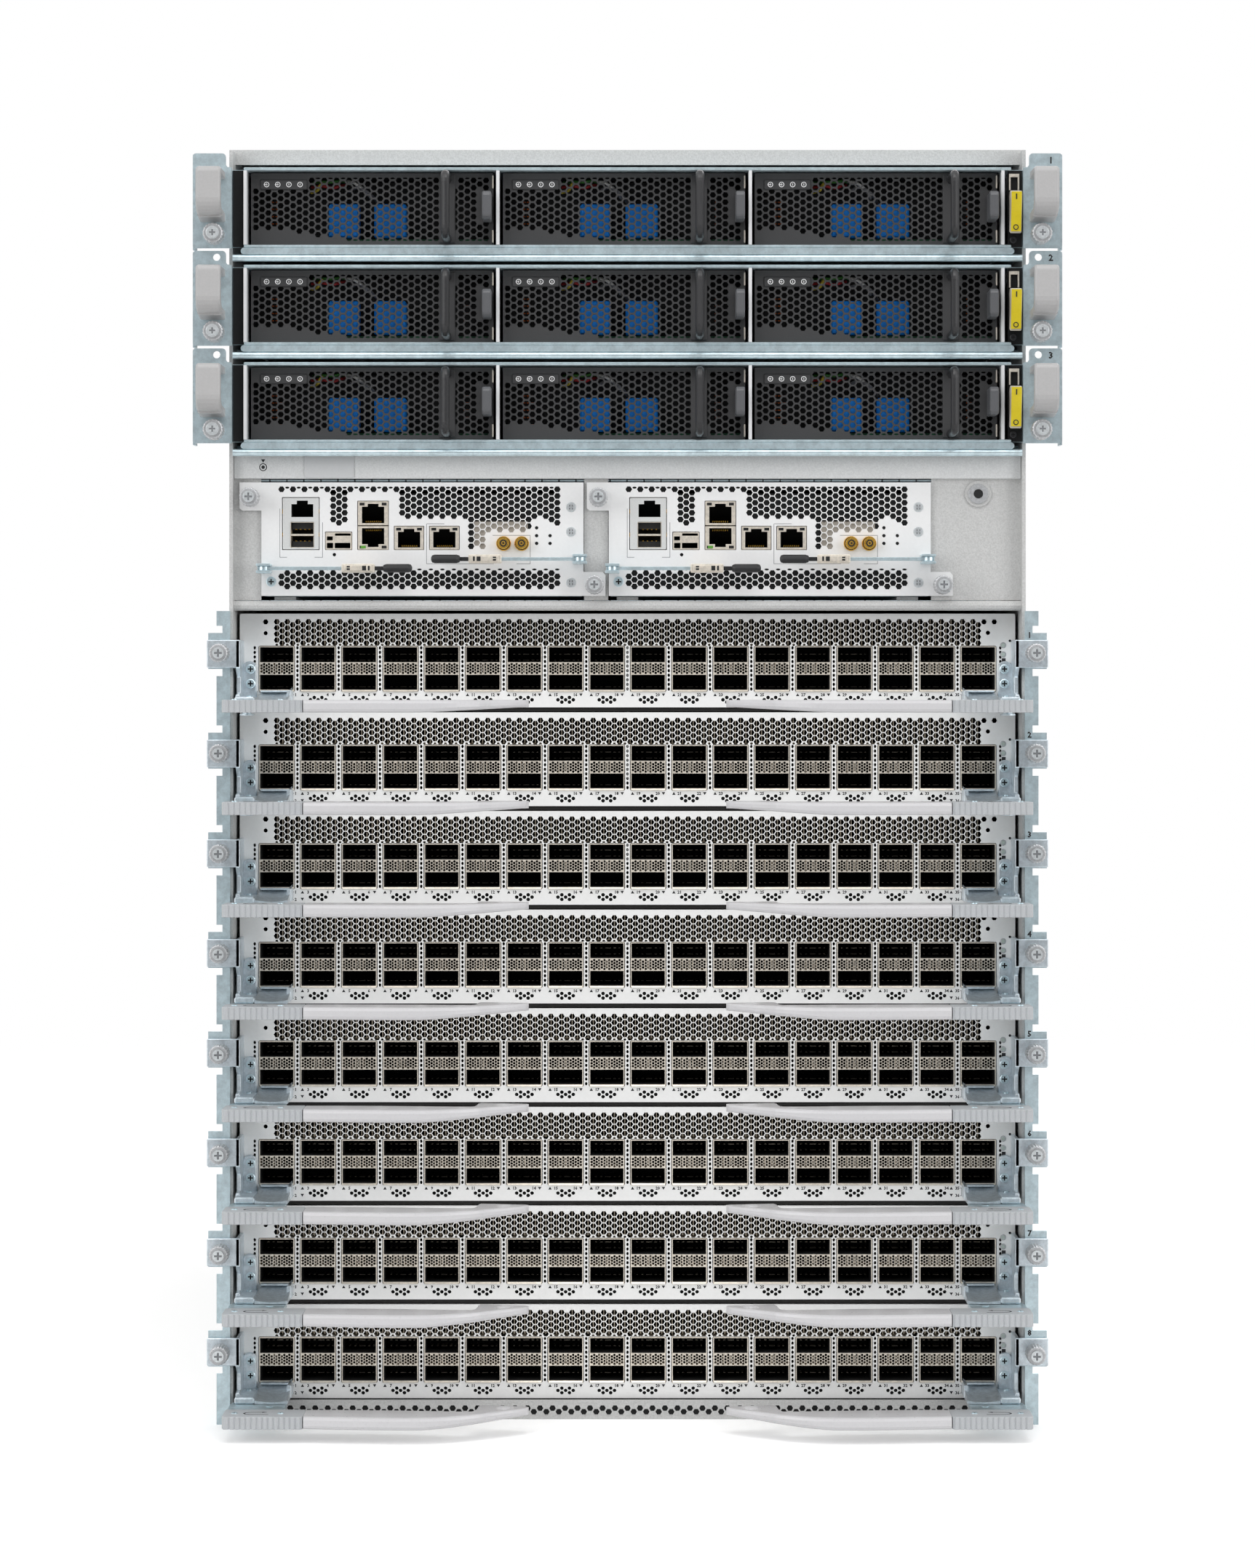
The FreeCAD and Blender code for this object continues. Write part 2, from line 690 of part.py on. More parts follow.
def make_power():
    for number in range(1, tray_count + 1):
        z = tray_bottom(number)
        save(f"power_tray_{number}", *power_tray(z))
        save(f"power_switch_{number}", power_switch(z))
        for n in range(tray_supplies):
            x0 = -psu_left() + n * (psu_width() + psu_gap)
            save(f"power_supply_{number}_{n + 1}", *power_supply(x0, z))


# ---- rear ----
def make_fabric():
    """The upright fabric modules that join every line card to every other."""
    y0 = card_back + 8
    y1 = back - fan_tray_depth - 20
    solids = []
    for n in range(fabric_count):
        x = (n - (fabric_count - 1) / 2) * fabric_pitch()
        solids.append(block(x - 1.2, x + 1.2, y0, y1, wall, upper_shelf_top - wall))
    save("fabric_modules", *solids)


def fan_tray(x0, wide):
    """A fan tray: folded duct, rear panel with one round opening for each fan, hubs and handle."""
    low = wall + gap
    high = upper_shelf_top - wall - gap
    y0 = back - fan_tray_depth
    duct = []
    for x in (x0, x0 + wide - wall):
        duct.append(block(x, x + wall, y0, back - 4, low, high))
    for z in (low, high - wall):
        duct.append(block(x0 + wall, x0 + wide - wall, y0, back - 4, z, z + wall))
    panel = block(x0, x0 + wide, back - 4, back, low, high)
    step = (high - low) / fans_per_tray
    radius = min(wide / 2 - fan_rim, step / 2 - 6)
    middle = x0 + wide / 2
    fans = []
    for n in range(fans_per_tray):
        z = low + (n + 0.5) * step
        panel = panel.cut(rod(middle, back - 4, z, radius, 4, (0, 1, 0), 14))
        hub = rod(middle, back - 30, z, radius * 0.36, 22, (0, 1, 0), 8)
        mount = block(x0 + wall, x0 + wide - wall, back - 34, back - 30, z - 4, z + 4)
        fans.append(fuse(hub, mount))
    z = (low + high) / 2
    handle = block(middle - 36, middle + 36, back, back + 28, z - 4, z + 4)
    handle = handle.cut(block(middle - 29, middle + 29, back, back + 21, z - 4, z + 4))
    return [*duct, panel, *fans, handle]


def make_fan_trays():
    space = 2 * inner / fan_columns
    for n in range(fan_columns):
        x0 = -inner + n * space + gap
        save(f"fan_tray_{n + 1}", *fan_tray(x0, space - 2 * gap))


make_enclosure()
make_shelves()
make_bezel()
make_fillers()
make_line_cards()
make_levers()
make_supervisors()
make_power()
make_fabric()
make_fan_trays()
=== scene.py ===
import json
import math

import bmesh
import bpy
from mathutils import Matrix, Vector


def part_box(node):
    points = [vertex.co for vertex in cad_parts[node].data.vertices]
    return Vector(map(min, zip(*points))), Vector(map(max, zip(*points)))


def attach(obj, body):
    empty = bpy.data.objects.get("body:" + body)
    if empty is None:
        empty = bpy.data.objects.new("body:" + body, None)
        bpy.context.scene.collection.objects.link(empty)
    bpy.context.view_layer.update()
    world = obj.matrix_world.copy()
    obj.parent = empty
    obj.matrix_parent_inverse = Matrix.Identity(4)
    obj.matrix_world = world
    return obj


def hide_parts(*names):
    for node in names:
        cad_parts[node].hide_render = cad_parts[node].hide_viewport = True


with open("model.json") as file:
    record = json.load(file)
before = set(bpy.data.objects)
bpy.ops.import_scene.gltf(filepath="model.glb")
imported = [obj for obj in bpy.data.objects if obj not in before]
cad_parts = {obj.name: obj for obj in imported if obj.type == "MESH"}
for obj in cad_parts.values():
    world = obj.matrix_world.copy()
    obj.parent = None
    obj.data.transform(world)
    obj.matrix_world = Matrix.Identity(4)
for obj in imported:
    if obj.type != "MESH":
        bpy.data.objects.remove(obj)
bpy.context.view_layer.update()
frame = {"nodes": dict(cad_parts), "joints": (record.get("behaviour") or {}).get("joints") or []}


# ---------------------------------------------------------------- camera, light and floor
# A long lens looks level at the front of the cabinet, a little below its middle height.
# Two broad soft lamps stand at the front, one lies overhead, and the floor is pale and matt.
# A dark cloth behind the camera gives the bare metal something to reflect.
MM = 0.001
place = {j["name"]: [c / MM for c in j.get("pos_m", (0, 0, 0))] for j in frame["joints"]}
pivot_x, front_y, _ = place["card_lever_right_1_hinge"]


def in_scene(name, data):
    """A new object of the scene that shows some data."""
    made = bpy.data.objects.new(name, data)
    bpy.context.scene.collection.objects.link(made)
    return made


camera = in_scene("camera", bpy.data.cameras.new("camera"))
camera.location = (0, front_y * MM - 2.17, 0.4)
camera.rotation_euler = (math.pi / 2, 0, 0)
camera.data.sensor_fit = "VERTICAL"
camera.data.sensor_height = 36
camera.data.lens = 89.8
camera.data.shift_y = -0.0501
camera.data.clip_end = 50
bpy.context.scene.camera = camera
bpy.context.scene.view_settings.view_transform = "Standard"


def linear(colour):
    """An sRGB hex colour as the linear values that Blender's shaders take."""
    parts = [int(colour[n:n + 2], 16) / 255 for n in (1, 3, 5)]
    return [((c + 0.055) / 1.055) ** 2.4 if c > 0.04045 else c / 12.92 for c in parts] + [1.0]


def add(tree, kind, inputs=None, **settings):
    """Adds a node; each input is a value or another node's output socket."""
    made = tree.nodes.new(kind)
    for name, value in settings.items():
        setattr(made, name, value)
    for key, value in (inputs or {}).items():
        if isinstance(value, bpy.types.NodeSocket):
            tree.links.new(value, made.inputs[key])
        else:
            made.inputs[key].default_value = value
    return made


def new_material(name):
    """An empty node material and its output node."""
    material = bpy.data.materials.new(name)
    material.use_nodes = True
    material.node_tree.nodes.clear()
    return material, add(material.node_tree, "ShaderNodeOutputMaterial")


def soft_lamp(name, at, toward, size, watts):
    """A broad lamp of a given width and height, turned toward a point."""
    lamp = in_scene(name, bpy.data.lights.new(name, "AREA"))
    lamp.data.shape = "RECTANGLE"
    lamp.data.size, lamp.data.size_y = size
    lamp.data.energy = watts
    lamp.location = at
    lamp.rotation_euler = (Vector(toward) - Vector(at)).to_track_quat("-Z", "Y").to_euler()


middle = (0, front_y * MM, 0.36)
soft_lamp("lamp_left", (-2.3, -2.4, 1.3), middle, (1.6, 2.2), 34)
soft_lamp("lamp_right", (2.4, -2.2, 1.1), middle, (1.4, 2.2), 30)
soft_lamp("lamp_top", (0, -1.6, 2.7), middle, (2.6, 1.4), 34)
soft_lamp("lamp_back", (0.6, 2.6, 2.0), (0, 0.4, 0.3), (2.4, 1.6), 30)

world = bpy.data.worlds.new("studio")
bpy.context.scene.world = world
world.use_nodes = True
sky = world.node_tree
sky.nodes.clear()
rays = add(sky, "ShaderNodeLightPath")
seen = add(sky, "ShaderNodeMath", {0: rays.outputs["Is Camera Ray"], 1: rays.outputs["Is Glossy Ray"]},
           operation="MAXIMUM")
seen = add(sky, "ShaderNodeMath", {0: seen.outputs[0], 1: rays.outputs["Is Transmission Ray"]},
           operation="MAXIMUM")
power = add(sky, "ShaderNodeMapRange", {"Value": seen.outputs[0], "To Min": 0.42, "To Max": 1.0})
white = add(sky, "ShaderNodeBackground", {"Color": (1, 1, 1, 1), "Strength": power.outputs[0]})
add(sky, "ShaderNodeOutputWorld", {"Surface": white.outputs[0]})


def stage_sheet(name, corners, material):
    """A flat sheet of the studio, which is no part of the object."""
    mesh = bpy.data.meshes.new(name)
    mesh.from_pydata(corners, [], [(0, 1, 2, 3)])
    mesh.materials.append(material)
    sheet = in_scene(name, mesh)
    return sheet


floor_paint, out = new_material("matt studio floor")
tree = floor_paint.node_tree
where = add(tree, "ShaderNodeTexCoord")
away = add(tree, "ShaderNodeVectorMath", {0: where.outputs["Object"]}, operation="LENGTH")
fade = add(tree, "ShaderNodeMapRange", {"Value": away.outputs["Value"], "From Min": 0.75, "From Max": 2.2},
           interpolation_type="SMOOTHSTEP")
matt = add(tree, "ShaderNodeBsdfDiffuse", {"Color": linear("#fbfbfb")})
rays = add(tree, "ShaderNodeLightPath")
lift = add(tree, "ShaderNodeMath", {0: rays.outputs["Is Camera Ray"], 1: 0.3}, operation="MULTIPLY")
glow = add(tree, "ShaderNodeEmission", {"Strength": lift.outputs[0]})
lit = add(tree, "ShaderNodeAddShader", {0: matt.outputs[0], 1: glow.outputs[0]})
open_air = add(tree, "ShaderNodeBsdfTransparent")
blend = add(tree, "ShaderNodeMixShader", {0: fade.outputs[0], 1: lit.outputs[0], 2: open_air.outputs[0]})
tree.links.new(blend.outputs[0], out.inputs["Surface"])
stage_sheet("floor", [(-4, -4, 0), (4, -4, 0), (4, 5, 0), (-4, 5, 0)], floor_paint)

cloth_black, out = new_material("dark studio cloth")
weave = add(cloth_black.node_tree, "ShaderNodeBsdfDiffuse", {"Color": linear("#6d7176")})
cloth_black.node_tree.links.new(weave.outputs[0], out.inputs["Surface"])
cloth = stage_sheet("dark_cloth", [(-3, -4.6, -0.4), (3, -4.6, -0.4), (3, -4.6, 2.3), (-3, -4.6, 2.3)],
                    cloth_black)
cloth.visible_camera = False


# ---------------------------------------------------------------- enclosure
# Folded steel sheets: two sides, a cover with a hood lip, and a pan with a drilled front lip.
# All are powder coated a light grey with a fine orange peel, screwed together along the folds.
def noise(tree, size_mm, vector=None, **values):
    """Noise fixed to the object, with features of about a given size."""
    where = vector or add(tree, "ShaderNodeTexCoord").outputs["Object"]
    made = add(tree, "ShaderNodeTexNoise", {"Vector": where, "Scale": 1 / (size_mm * MM), **values})
    return made.outputs[0]


def surface(material, out, colour, shades, patch, grain, rough, bump, metallic=0.0):
    """A surface between two shades of a colour, whose gloss and relief follow one grain."""
    tree = material.node_tree
    tint = add(tree, "ShaderNodeMix", {"Factor": patch}, data_type="RGBA")
    for socket, shade in zip((6, 7), shades):
        tint.inputs[socket].default_value = [min(c * shade, 1) for c in linear(colour)[:3]] + [1]
    relief = add(tree, "ShaderNodeBump", {"Height": grain, "Strength": bump[0], "Distance": bump[1] * MM})
    shine = add(tree, "ShaderNodeMapRange", {"Value": grain, "To Min": rough[0], "To Max": rough[1]})
    coat = add(tree, "ShaderNodeBsdfPrincipled", {"Base Color": tint.outputs[2], "Metallic": metallic,
               "Roughness": shine.outputs[0], "Normal": relief.outputs[0]})
    tree.links.new(coat.outputs[0], out.inputs["Surface"])
    return material


def powder_coat(name, colour, grain_mm=1.6, rough=0.5, speckle=0.03):
    """Sprayed and baked powder: even colour with a fine speckle, slight orange peel, soft gloss."""
    material, out = new_material(name)
    tree = material.node_tree
    peel = noise(tree, grain_mm, Detail=2.0)
    haze = add(tree, "ShaderNodeMath", {0: noise(tree, 60), 1: 0.08}, operation="MULTIPLY")
    mottle = add(tree, "ShaderNodeMath", {0: peel, 1: haze.outputs[0]}, operation="ADD")
    patch = add(tree, "ShaderNodeMapRange", {"Value": mottle.outputs[0], "From Min": 0.3, "From Max": 0.78})
    return surface(material, out, colour, (1 - speckle, 1 + speckle), patch.outputs[0], peel,
                   (rough - 0.08, rough + 0.1), (min(1, 6 * speckle), 0.2))


cabinet_coat = powder_coat("light grey powder coat", "#c4c4c3", 0.8, 0.45, 0.12)


def painted(mesh, *finishes):
    """Gives a whole mesh one finish, or none, in place of any others."""
    mesh.materials.clear()
    for finish in finishes:
        mesh.materials.append(finish)
    return mesh


def dress(node, finish):
    """Gives a carried-over part its finish."""
    painted(frame["nodes"][node].data, finish)


for node in ("side_wall_left", "side_wall_right", "top_cover"):
    dress(node, cabinet_coat)


def finish_mesh(name, mesh, body, replaced=()):
    """Turns a mesh into a piece at the origin that rides on a body."""
    mesh.name = name
    piece = in_scene(name, mesh)
    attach(piece, body)
    if replaced:
        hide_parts(*replaced)


def tree_with(name, sockets):
    """A geometry tree with named inputs, and its input and output nodes."""
    group = bpy.data.node_groups.new(name, "GeometryNodeTree")
    group.interface.new_socket("Geometry", in_out="INPUT", socket_type="NodeSocketGeometry")
    for label, kind in sockets.items():
        group.interface.new_socket(label, in_out="INPUT", socket_type=kind)
    group.interface.new_socket("Geometry", in_out="OUTPUT", socket_type="NodeSocketGeometry")
    return group, add(group, "NodeGroupInput"), add(group, "NodeGroupOutput")


def finish_tree(group, given, out, geometry):
    """Ends a tree: real geometry in the finish that the tree was given."""
    real = add(group, "GeometryNodeRealizeInstances", {"Geometry": geometry})
    done = add(group, "GeometryNodeSetMaterial", {"Geometry": real.outputs[0],
               "Material": given.outputs["Finish"]})
    group.links.new(done.outputs[0], out.inputs[0])
    return group


def grow(group, base, values):
    """Runs a tree on a base mesh and returns the plain mesh that it makes."""
    holder = in_scene("holder", base)
    modifier = holder.modifiers.new("grow", "NODES")
    modifier.node_group = group
    for label, value in values.items():
        modifier[group.interface.items_tree[label].identifier] = value
    bpy.context.view_layer.update()
    seen_by = holder.evaluated_get(bpy.context.evaluated_depsgraph_get())
    mesh = bpy.data.meshes.new_from_object(seen_by)
    holder.modifiers.remove(modifier)
    bpy.data.objects.remove(holder)
    return mesh


def make_punched_sheet():
    """Flat loops and hole centres in, a sheet standing in XZ with every hole cut out."""
    group, given, out = tree_with("punched sheet", {
        "Thickness": "NodeSocketFloat", "Face": "NodeSocketFloat", "Finish": "NodeSocketMaterial"})
    is_hole = add(group, "GeometryNodeInputNamedAttribute", {"Name": "hole"}, data_type="BOOLEAN")
    parts = add(group, "GeometryNodeSeparateGeometry",
                {"Geometry": given.outputs["Geometry"], "Selection": is_hole.outputs[0]})
    edges = add(group, "GeometryNodeMeshToCurve", {"Mesh": parts.outputs["Inverted"]})
    size = add(group, "GeometryNodeInputNamedAttribute", {"Name": "size"}, data_type="FLOAT_VECTOR")
    is_round = add(group, "GeometryNodeInputNamedAttribute", {"Name": "round"}, data_type="BOOLEAN")
    six = add(group, "GeometryNodeCurvePrimitiveCircle", {"Resolution": 6, "Radius": 1.0})
    ten = add(group, "GeometryNodeCurvePrimitiveCircle", {"Resolution": 10, "Radius": 1.0})
    kinds = add(group, "GeometryNodeSeparateGeometry",
                {"Geometry": parts.outputs["Selection"], "Selection": is_round.outputs[0]})
    hexes = add(group, "GeometryNodeInstanceOnPoints", {"Points": kinds.outputs["Inverted"],
                "Instance": six.outputs[0], "Scale": size.outputs[0]})
    rounds = add(group, "GeometryNodeInstanceOnPoints", {"Points": kinds.outputs["Selection"],
                 "Instance": ten.outputs[0], "Scale": size.outputs[0]})
    loops = add(group, "GeometryNodeJoinGeometry", {"Geometry": hexes.outputs[0]})
    group.links.new(rounds.outputs[0], loops.inputs[0])
    group.links.new(edges.outputs[0], loops.inputs[0])
    real = add(group, "GeometryNodeRealizeInstances", {"Geometry": loops.outputs[0]})
    filled = add(group, "GeometryNodeFillCurve", {"Curve": real.outputs[0]})
    raised = add(group, "GeometryNodeExtrudeMesh", {"Mesh": filled.outputs[0],
                 "Offset Scale": given.outputs["Thickness"], "Individual": False})
    under = add(group, "GeometryNodeFlipFaces", {"Mesh": filled.outputs[0]})
    both = add(group, "GeometryNodeJoinGeometry", {"Geometry": raised.outputs[0]})
    group.links.new(under.outputs[0], both.inputs[0])
    merged = add(group, "GeometryNodeMergeByDistance", {"Geometry": both.outputs[0], "Distance": 0.000002})
    shift = add(group, "ShaderNodeCombineXYZ", {"Y": given.outputs["Face"]})
    stood = add(group, "GeometryNodeTransform", {"Geometry": merged.outputs[0],
                "Translation": shift.outputs[0], "Rotation": (math.pi / 2, 0, 0)})
    return finish_tree(group, given, out, stood.outputs[0])


punched_sheet = make_punched_sheet()


def rectangle(x0, x1, z0, z1, corner=0.0):
    """A closed loop of points, with its corners cut or rounded by three points."""
    if corner <= 0:
        return [(x0, z0), (x1, z0), (x1, z1), (x0, z1)]
    loop = []
    for cx, cz, start in ((x1, z0, -90), (x1, z1, 0), (x0, z1, 90), (x0, z0, 180)):
        mx = cx - corner if cx == x1 else cx + corner
        mz = cz + corner if cz == z0 else cz - corner
        for turn in (0, 30, 60, 90):
            angle = math.radians(start + turn)
            loop.append((mx + corner * math.cos(angle), mz + corner * math.sin(angle)))
    return loop


def sheet_mesh(loops, holes, face, thick, material):
    """A punched sheet from outline loops and (x, z, half width, half height, round) holes."""
    points, edges = [], []
    for loop in loops:
        start = len(points)
        points += [(x * MM, z * MM, 0) for x, z in loop]
        edges += [(start + n, start + (n + 1) % len(loop)) for n in range(len(loop))]
    first = len(points)
    points += [(h[0] * MM, h[1] * MM, 0) for h in holes]
    base = bpy.data.meshes.new("outline")
    base.from_pydata(points, edges, [])
    for label, kind in (("hole", "BOOLEAN"), ("size", "FLOAT_VECTOR"), ("round", "BOOLEAN")):
        base.attributes.new(label, kind, "POINT")
    hole, size, is_round = (base.attributes[label].data for label in ("hole", "size", "round"))
    for n, h in enumerate(holes):
        hole[first + n].value = True
        size[first + n].vector = (h[2] * MM, h[3] * MM, 1)
        is_round[first + n].value = bool(h[4])
    mesh = grow(punched_sheet, base, {"Thickness": thick * MM, "Face": (face + thick) * MM,
                                      "Finish": material})
    bpy.data.meshes.remove(base)
    return mesh


def hex_rows(x0, x1, z_top, z_low, pitch, hole_wide):
    """Staggered columns of hexagonal holes that fill a field, from its top edge down."""
    holes = []
    column = pitch * math.sqrt(3) / 2
    count = int((x1 - x0) / column) + 1
    start = (x0 + x1) / 2 - (count - 1) * column / 2
    radius = hole_wide / math.sqrt(3)
    for n in range(count):
        z = z_top - (pitch / 2 if n % 2 else 0)
        while z >= z_low:
            holes.append((start + n * column, z, radius, radius, False))
            z -= pitch
    return holes


def round_holes(radius, places):
    """Round holes of one size for a sheet."""
    return [(x, z, radius, radius, True) for x, z in places]


def circle(x, z, radius, sides=16):
    """A closed loop of points round a centre."""
    return [(x + radius * math.cos(2 * math.pi * (n + 0.5) / sides),
             z + radius * math.sin(2 * math.pi * (n + 0.5) / sides)) for n in range(sides)]


class Shape:
    """Closed parts of one finish, drawn in millimetres, with y counted from a given plane."""

    def __init__(self, y=0.0):
        self.bm = bmesh.new()
        self.y = y

    def take(self, part):
        """Adds a part that was drawn by itself, with its faces turned outwards."""
        bmesh.ops.recalc_face_normals(part, faces=part.faces[:])
        carried = bpy.data.meshes.new("part")
        part.to_mesh(carried)
        part.free()
        self.bm.from_mesh(carried)
        bpy.data.meshes.remove(carried)
        return self

    def loft(self, rings, bevel=0.0):
        """Skins a row of rings that have equal numbers of points, and closes both ends."""
        part = bmesh.new()
        rows = [[part.verts.new((x * MM, (self.y + y) * MM, z * MM)) for x, y, z in ring]
                for ring in rings]
        part.faces.new(rows[0])
        part.faces.new(rows[-1])
        for one, two in zip(rows, rows[1:]):
            for n in range(len(one)):
                m = (n + 1) % len(one)
                part.faces.new((one[n], one[m], two[m], two[n]))
        if bevel:
            bmesh.ops.recalc_face_normals(part, faces=part.faces[:])
            bmesh.ops.bevel(part, geom=part.edges[:], offset=bevel * MM, segments=1, affect="EDGES")
        return self.take(part)

    def prism(self, outline, low, high, along="Z", bevel=0.0):
        """An outline drawn out along an axis; along X it lies in YZ, and along Y in XZ."""
        place_in = {"X": lambda u, v, w: (w, u, v), "Y": lambda u, v, w: (u, w, v),
                    "Z": lambda u, v, w: (u, v, w)}[along]
        return self.loft([[place_in(u, v, w) for u, v in outline] for w in (low, high)], bevel)

    def box(self, x0, x1, y0, y1, z0, z1, bevel=0.0):
        return self.prism([(x0, y0), (x1, y0), (x1, y1), (x0, y1)], z0, z1, "Z", bevel)

    def rod(self, x, y, z, radius, length, along="Y", sides=12, bevel=0.0):
        """A round bar that starts at a point and runs along an axis."""
        u, v, w = {"X": (y, z, x), "Y": (x, z, y), "Z": (x, y, z)}[along]
        return self.prism(circle(u, v, radius, sides), w, w + length, along, bevel)

    def cup(self, x0, x1, y0, y1, z0, z1, wall):
        """A box with walls that is open towards the front."""
        part = bmesh.new()

        def ring(inset, y):
            return [part.verts.new((x * MM, (self.y + y) * MM, z * MM)) for x, z in (
                (x0 + inset, z0 + inset), (x1 - inset, z0 + inset),
                (x1 - inset, z1 - inset), (x0 + inset, z1 - inset))]

        rows = [ring(0, y1), ring(0, y0), ring(wall, y0), ring(wall, y1 - wall)]
        part.faces.new(rows[0])
        part.faces.new(rows[-1])
        for one, two in zip(rows, rows[1:]):
            for n in range(4):
                part.faces.new((one[n], one[(n + 1) % 4], two[(n + 1) % 4], two[n]))
        return self.take(part)

    def mesh(self, *finish):
        """The mesh of all the parts, in a finish if one is given; the shape is used up."""
        made = bpy.data.meshes.new("part")
        self.bm.to_mesh(made)
        self.bm.free()
        return painted(made, *finish)


def moved(mesh, x=0.0, y=0.0, z=0.0, mirror=False):
    """A copy of a mesh in another place, and turned left for right if it is mirrored."""
    made = mesh.copy()
    flip = Matrix.Diagonal((-1 if mirror else 1, 1, 1, 1))
    made.transform(Matrix.Translation((x * MM, y * MM, z * MM)) @ flip)
    if mirror:
        made.flip_normals()
    return made


def joined(*meshes):
    """One mesh of several, each with its own materials kept."""
    whole = bmesh.new()
    finishes = []
    for mesh in meshes:
        start = len(whole.faces)
        whole.from_mesh(mesh)
        whole.faces.ensure_lookup_table()
        numbers = []
        for finish in mesh.materials:
            if finish not in finishes:
                finishes.append(finish)
            numbers.append(finishes.index(finish))
        for n in range(start, len(whole.faces)):
            whole.faces[n].material_index = numbers[whole.faces[n].material_index] if numbers else 0
    made = bpy.data.meshes.new("joined")
    whole.to_mesh(made)
    whole.free()
    for finish in finishes:
        made.materials.append(finish)
    return made


def boxes(finish, *spans, y=0.0, bevel=0.0):
    """Boxes in one finish, each from its (x0, x1, y0, y1, z0, z1), with one bevel for all."""
    shape = Shape(y)
    for span in spans:
        shape.box(*span, bevel=bevel)
    return shape.mesh(finish)


def make_copies():
    """Points in, a copy of one piece at each point out."""
    group, given, out = tree_with("copies at points", {
        "Piece": "NodeSocketObject", "Finish": "NodeSocketMaterial"})
    piece = add(group, "GeometryNodeObjectInfo", {"Object": given.outputs["Piece"]})
    placed = add(group, "GeometryNodeInstanceOnPoints", {
        "Points": given.outputs["Geometry"], "Instance": piece.outputs["Geometry"]})
    return finish_tree(group, given, out, placed.outputs[0])


copies_at_points = make_copies()


def copies(piece, spots, finish):
    """A copy of a mesh at every spot, in millimetres, all in one finish."""
    base = bpy.data.meshes.new("spots")
    base.from_pydata([[c * MM for c in spot] for spot in spots], [], [])
    pattern = in_scene("pattern", piece)
    mesh = grow(copies_at_points, base, {"Piece": pattern, "Finish": finish})
    bpy.data.objects.remove(pattern)
    bpy.data.meshes.remove(base)
    return mesh


def metal(name, colour, rough, grain_mm, streak=1.0, spangle_mm=6.0, bare=0.85):
    """Bare or plated metal: reflections broken by a fine grain and by crystals of the plating."""
    material, out = new_material(name)
    tree = material.node_tree
    where = add(tree, "ShaderNodeTexCoord")
    turn = add(tree, "ShaderNodeMapping", {"Vector": where.outputs["Object"], "Scale": (1 / streak, 1, 1)})
    grain = noise(tree, grain_mm, turn.outputs[0], Detail=3.0)
    crystal = noise(tree, spangle_mm, Detail=4.0, Roughness=0.7)
    patch = add(tree, "ShaderNodeMapRange", {"Value": crystal, "From Min": 0.36, "From Max": 0.64})
    return surface(material, out, colour, (0.86, 1.1), patch.outputs[0], grain,
                   (rough - 0.08, rough + 0.12), (0.25, 0.02), bare)


zinc_sheet = metal("zinc plated sheet steel", "#cfe0e6", 0.32, 0.8, spangle_mm=5.0, bare=0.62)
die_cast = metal("die-cast zinc alloy", "#dbe4ea", 0.34, 0.9, spangle_mm=3.0, bare=0.7)
nickel_cage = metal("nickel plated cage steel", "#efe6d8", 0.36, 0.5, spangle_mm=2.5, bare=0.6)
bright_chrome = metal("bright chrome plate", "#e6e8ea", 0.12, 0.4, bare=1.0)
gold_plate = metal("gold plate", "#e8b64e", 0.26, 0.4, bare=0.8)
bare_aluminium = metal("extruded aluminium", "#cfc3b0", 0.38, 0.6, 8, bare=0.7)


def moulded(name, colour, rough=0.45, grain_mm=0.8, depth_mm=0.03, shade=0.08):
    """Moulded plastic or rubber: even colour, spark-eroded texture, soft highlights."""
    material, out = new_material(name)
    pits = noise(material.node_tree, grain_mm, Detail=2.0)
    return surface(material, out, colour, (1 - shade, 1 + shade), pits, pits,
                   (rough - 0.05, rough + 0.08), (0.3, depth_mm))


# Black plastic of the sockets; the same black also serves as painted shade behind holes, in recesses and in
# slots.
black_plastic_and_shade = moulded("black socket plastic and painted shade", "#09090a", 0.75)
printed_ink = moulded("dark screen print", "#222225", 0.6)


def box_mm(node):
    """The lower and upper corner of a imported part, in millimetres."""
    return [[c / MM for c in corner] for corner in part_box(node)]


(_, lip_y, _), (lip_half, _, lip_top) = box_mm("base_pan")
vent_lip = sheet_mesh(
    [rectangle(-lip_half + 5.5, lip_half - 5.5, 1.6, lip_top - 1.2)],
    hex_rows(-lip_half + 9, lip_half - 9, 6.2, 3.7, 4.04, 3.2),
    lip_y + 0.2, 0.9, cabinet_coat)
# Painted shade: a black sheet behind the vent holes stands in for the shade inside the pan.
shadow = boxes(black_plastic_and_shade, (-lip_half + 6.2, lip_half - 6.2, lip_y + 1.15, lip_y + 1.45, 2.1,
                              lip_top - 1.7))
finish_mesh("bottom_vent", joined(vent_lip, shadow), "chassis")
dress("base_pan", cabinet_coat)


# ---------------------------------------------------------------- front rails
# Two notched strips of zinc plated steel, riveted to the sides beside the line cards.
# Behind each thumbscrew a tab sticks out, and the slot's number is printed above it.
for node in ("front_rail_left", "front_rail_right"):
    dress(node, zinc_sheet)

card_z = [place[f"card_lever_right_{n}_hinge"][2] for n in range(1, 9)]
rail_y = box_mm("front_rail_right")[0][1]
side_x = box_mm("side_wall_right")[1][0]
card_high = card_z[0] - card_z[1] - 2.83


def curve_mesh(curve):
    """The mesh that a curve or a line of text makes; the curve is used up."""
    holder = in_scene("holder", curve)
    bpy.context.view_layer.update()
    made = bpy.data.meshes.new_from_object(holder.evaluated_get(bpy.context.evaluated_depsgraph_get()))
    bpy.data.objects.remove(holder)
    bpy.data.curves.remove(curve)
    return made


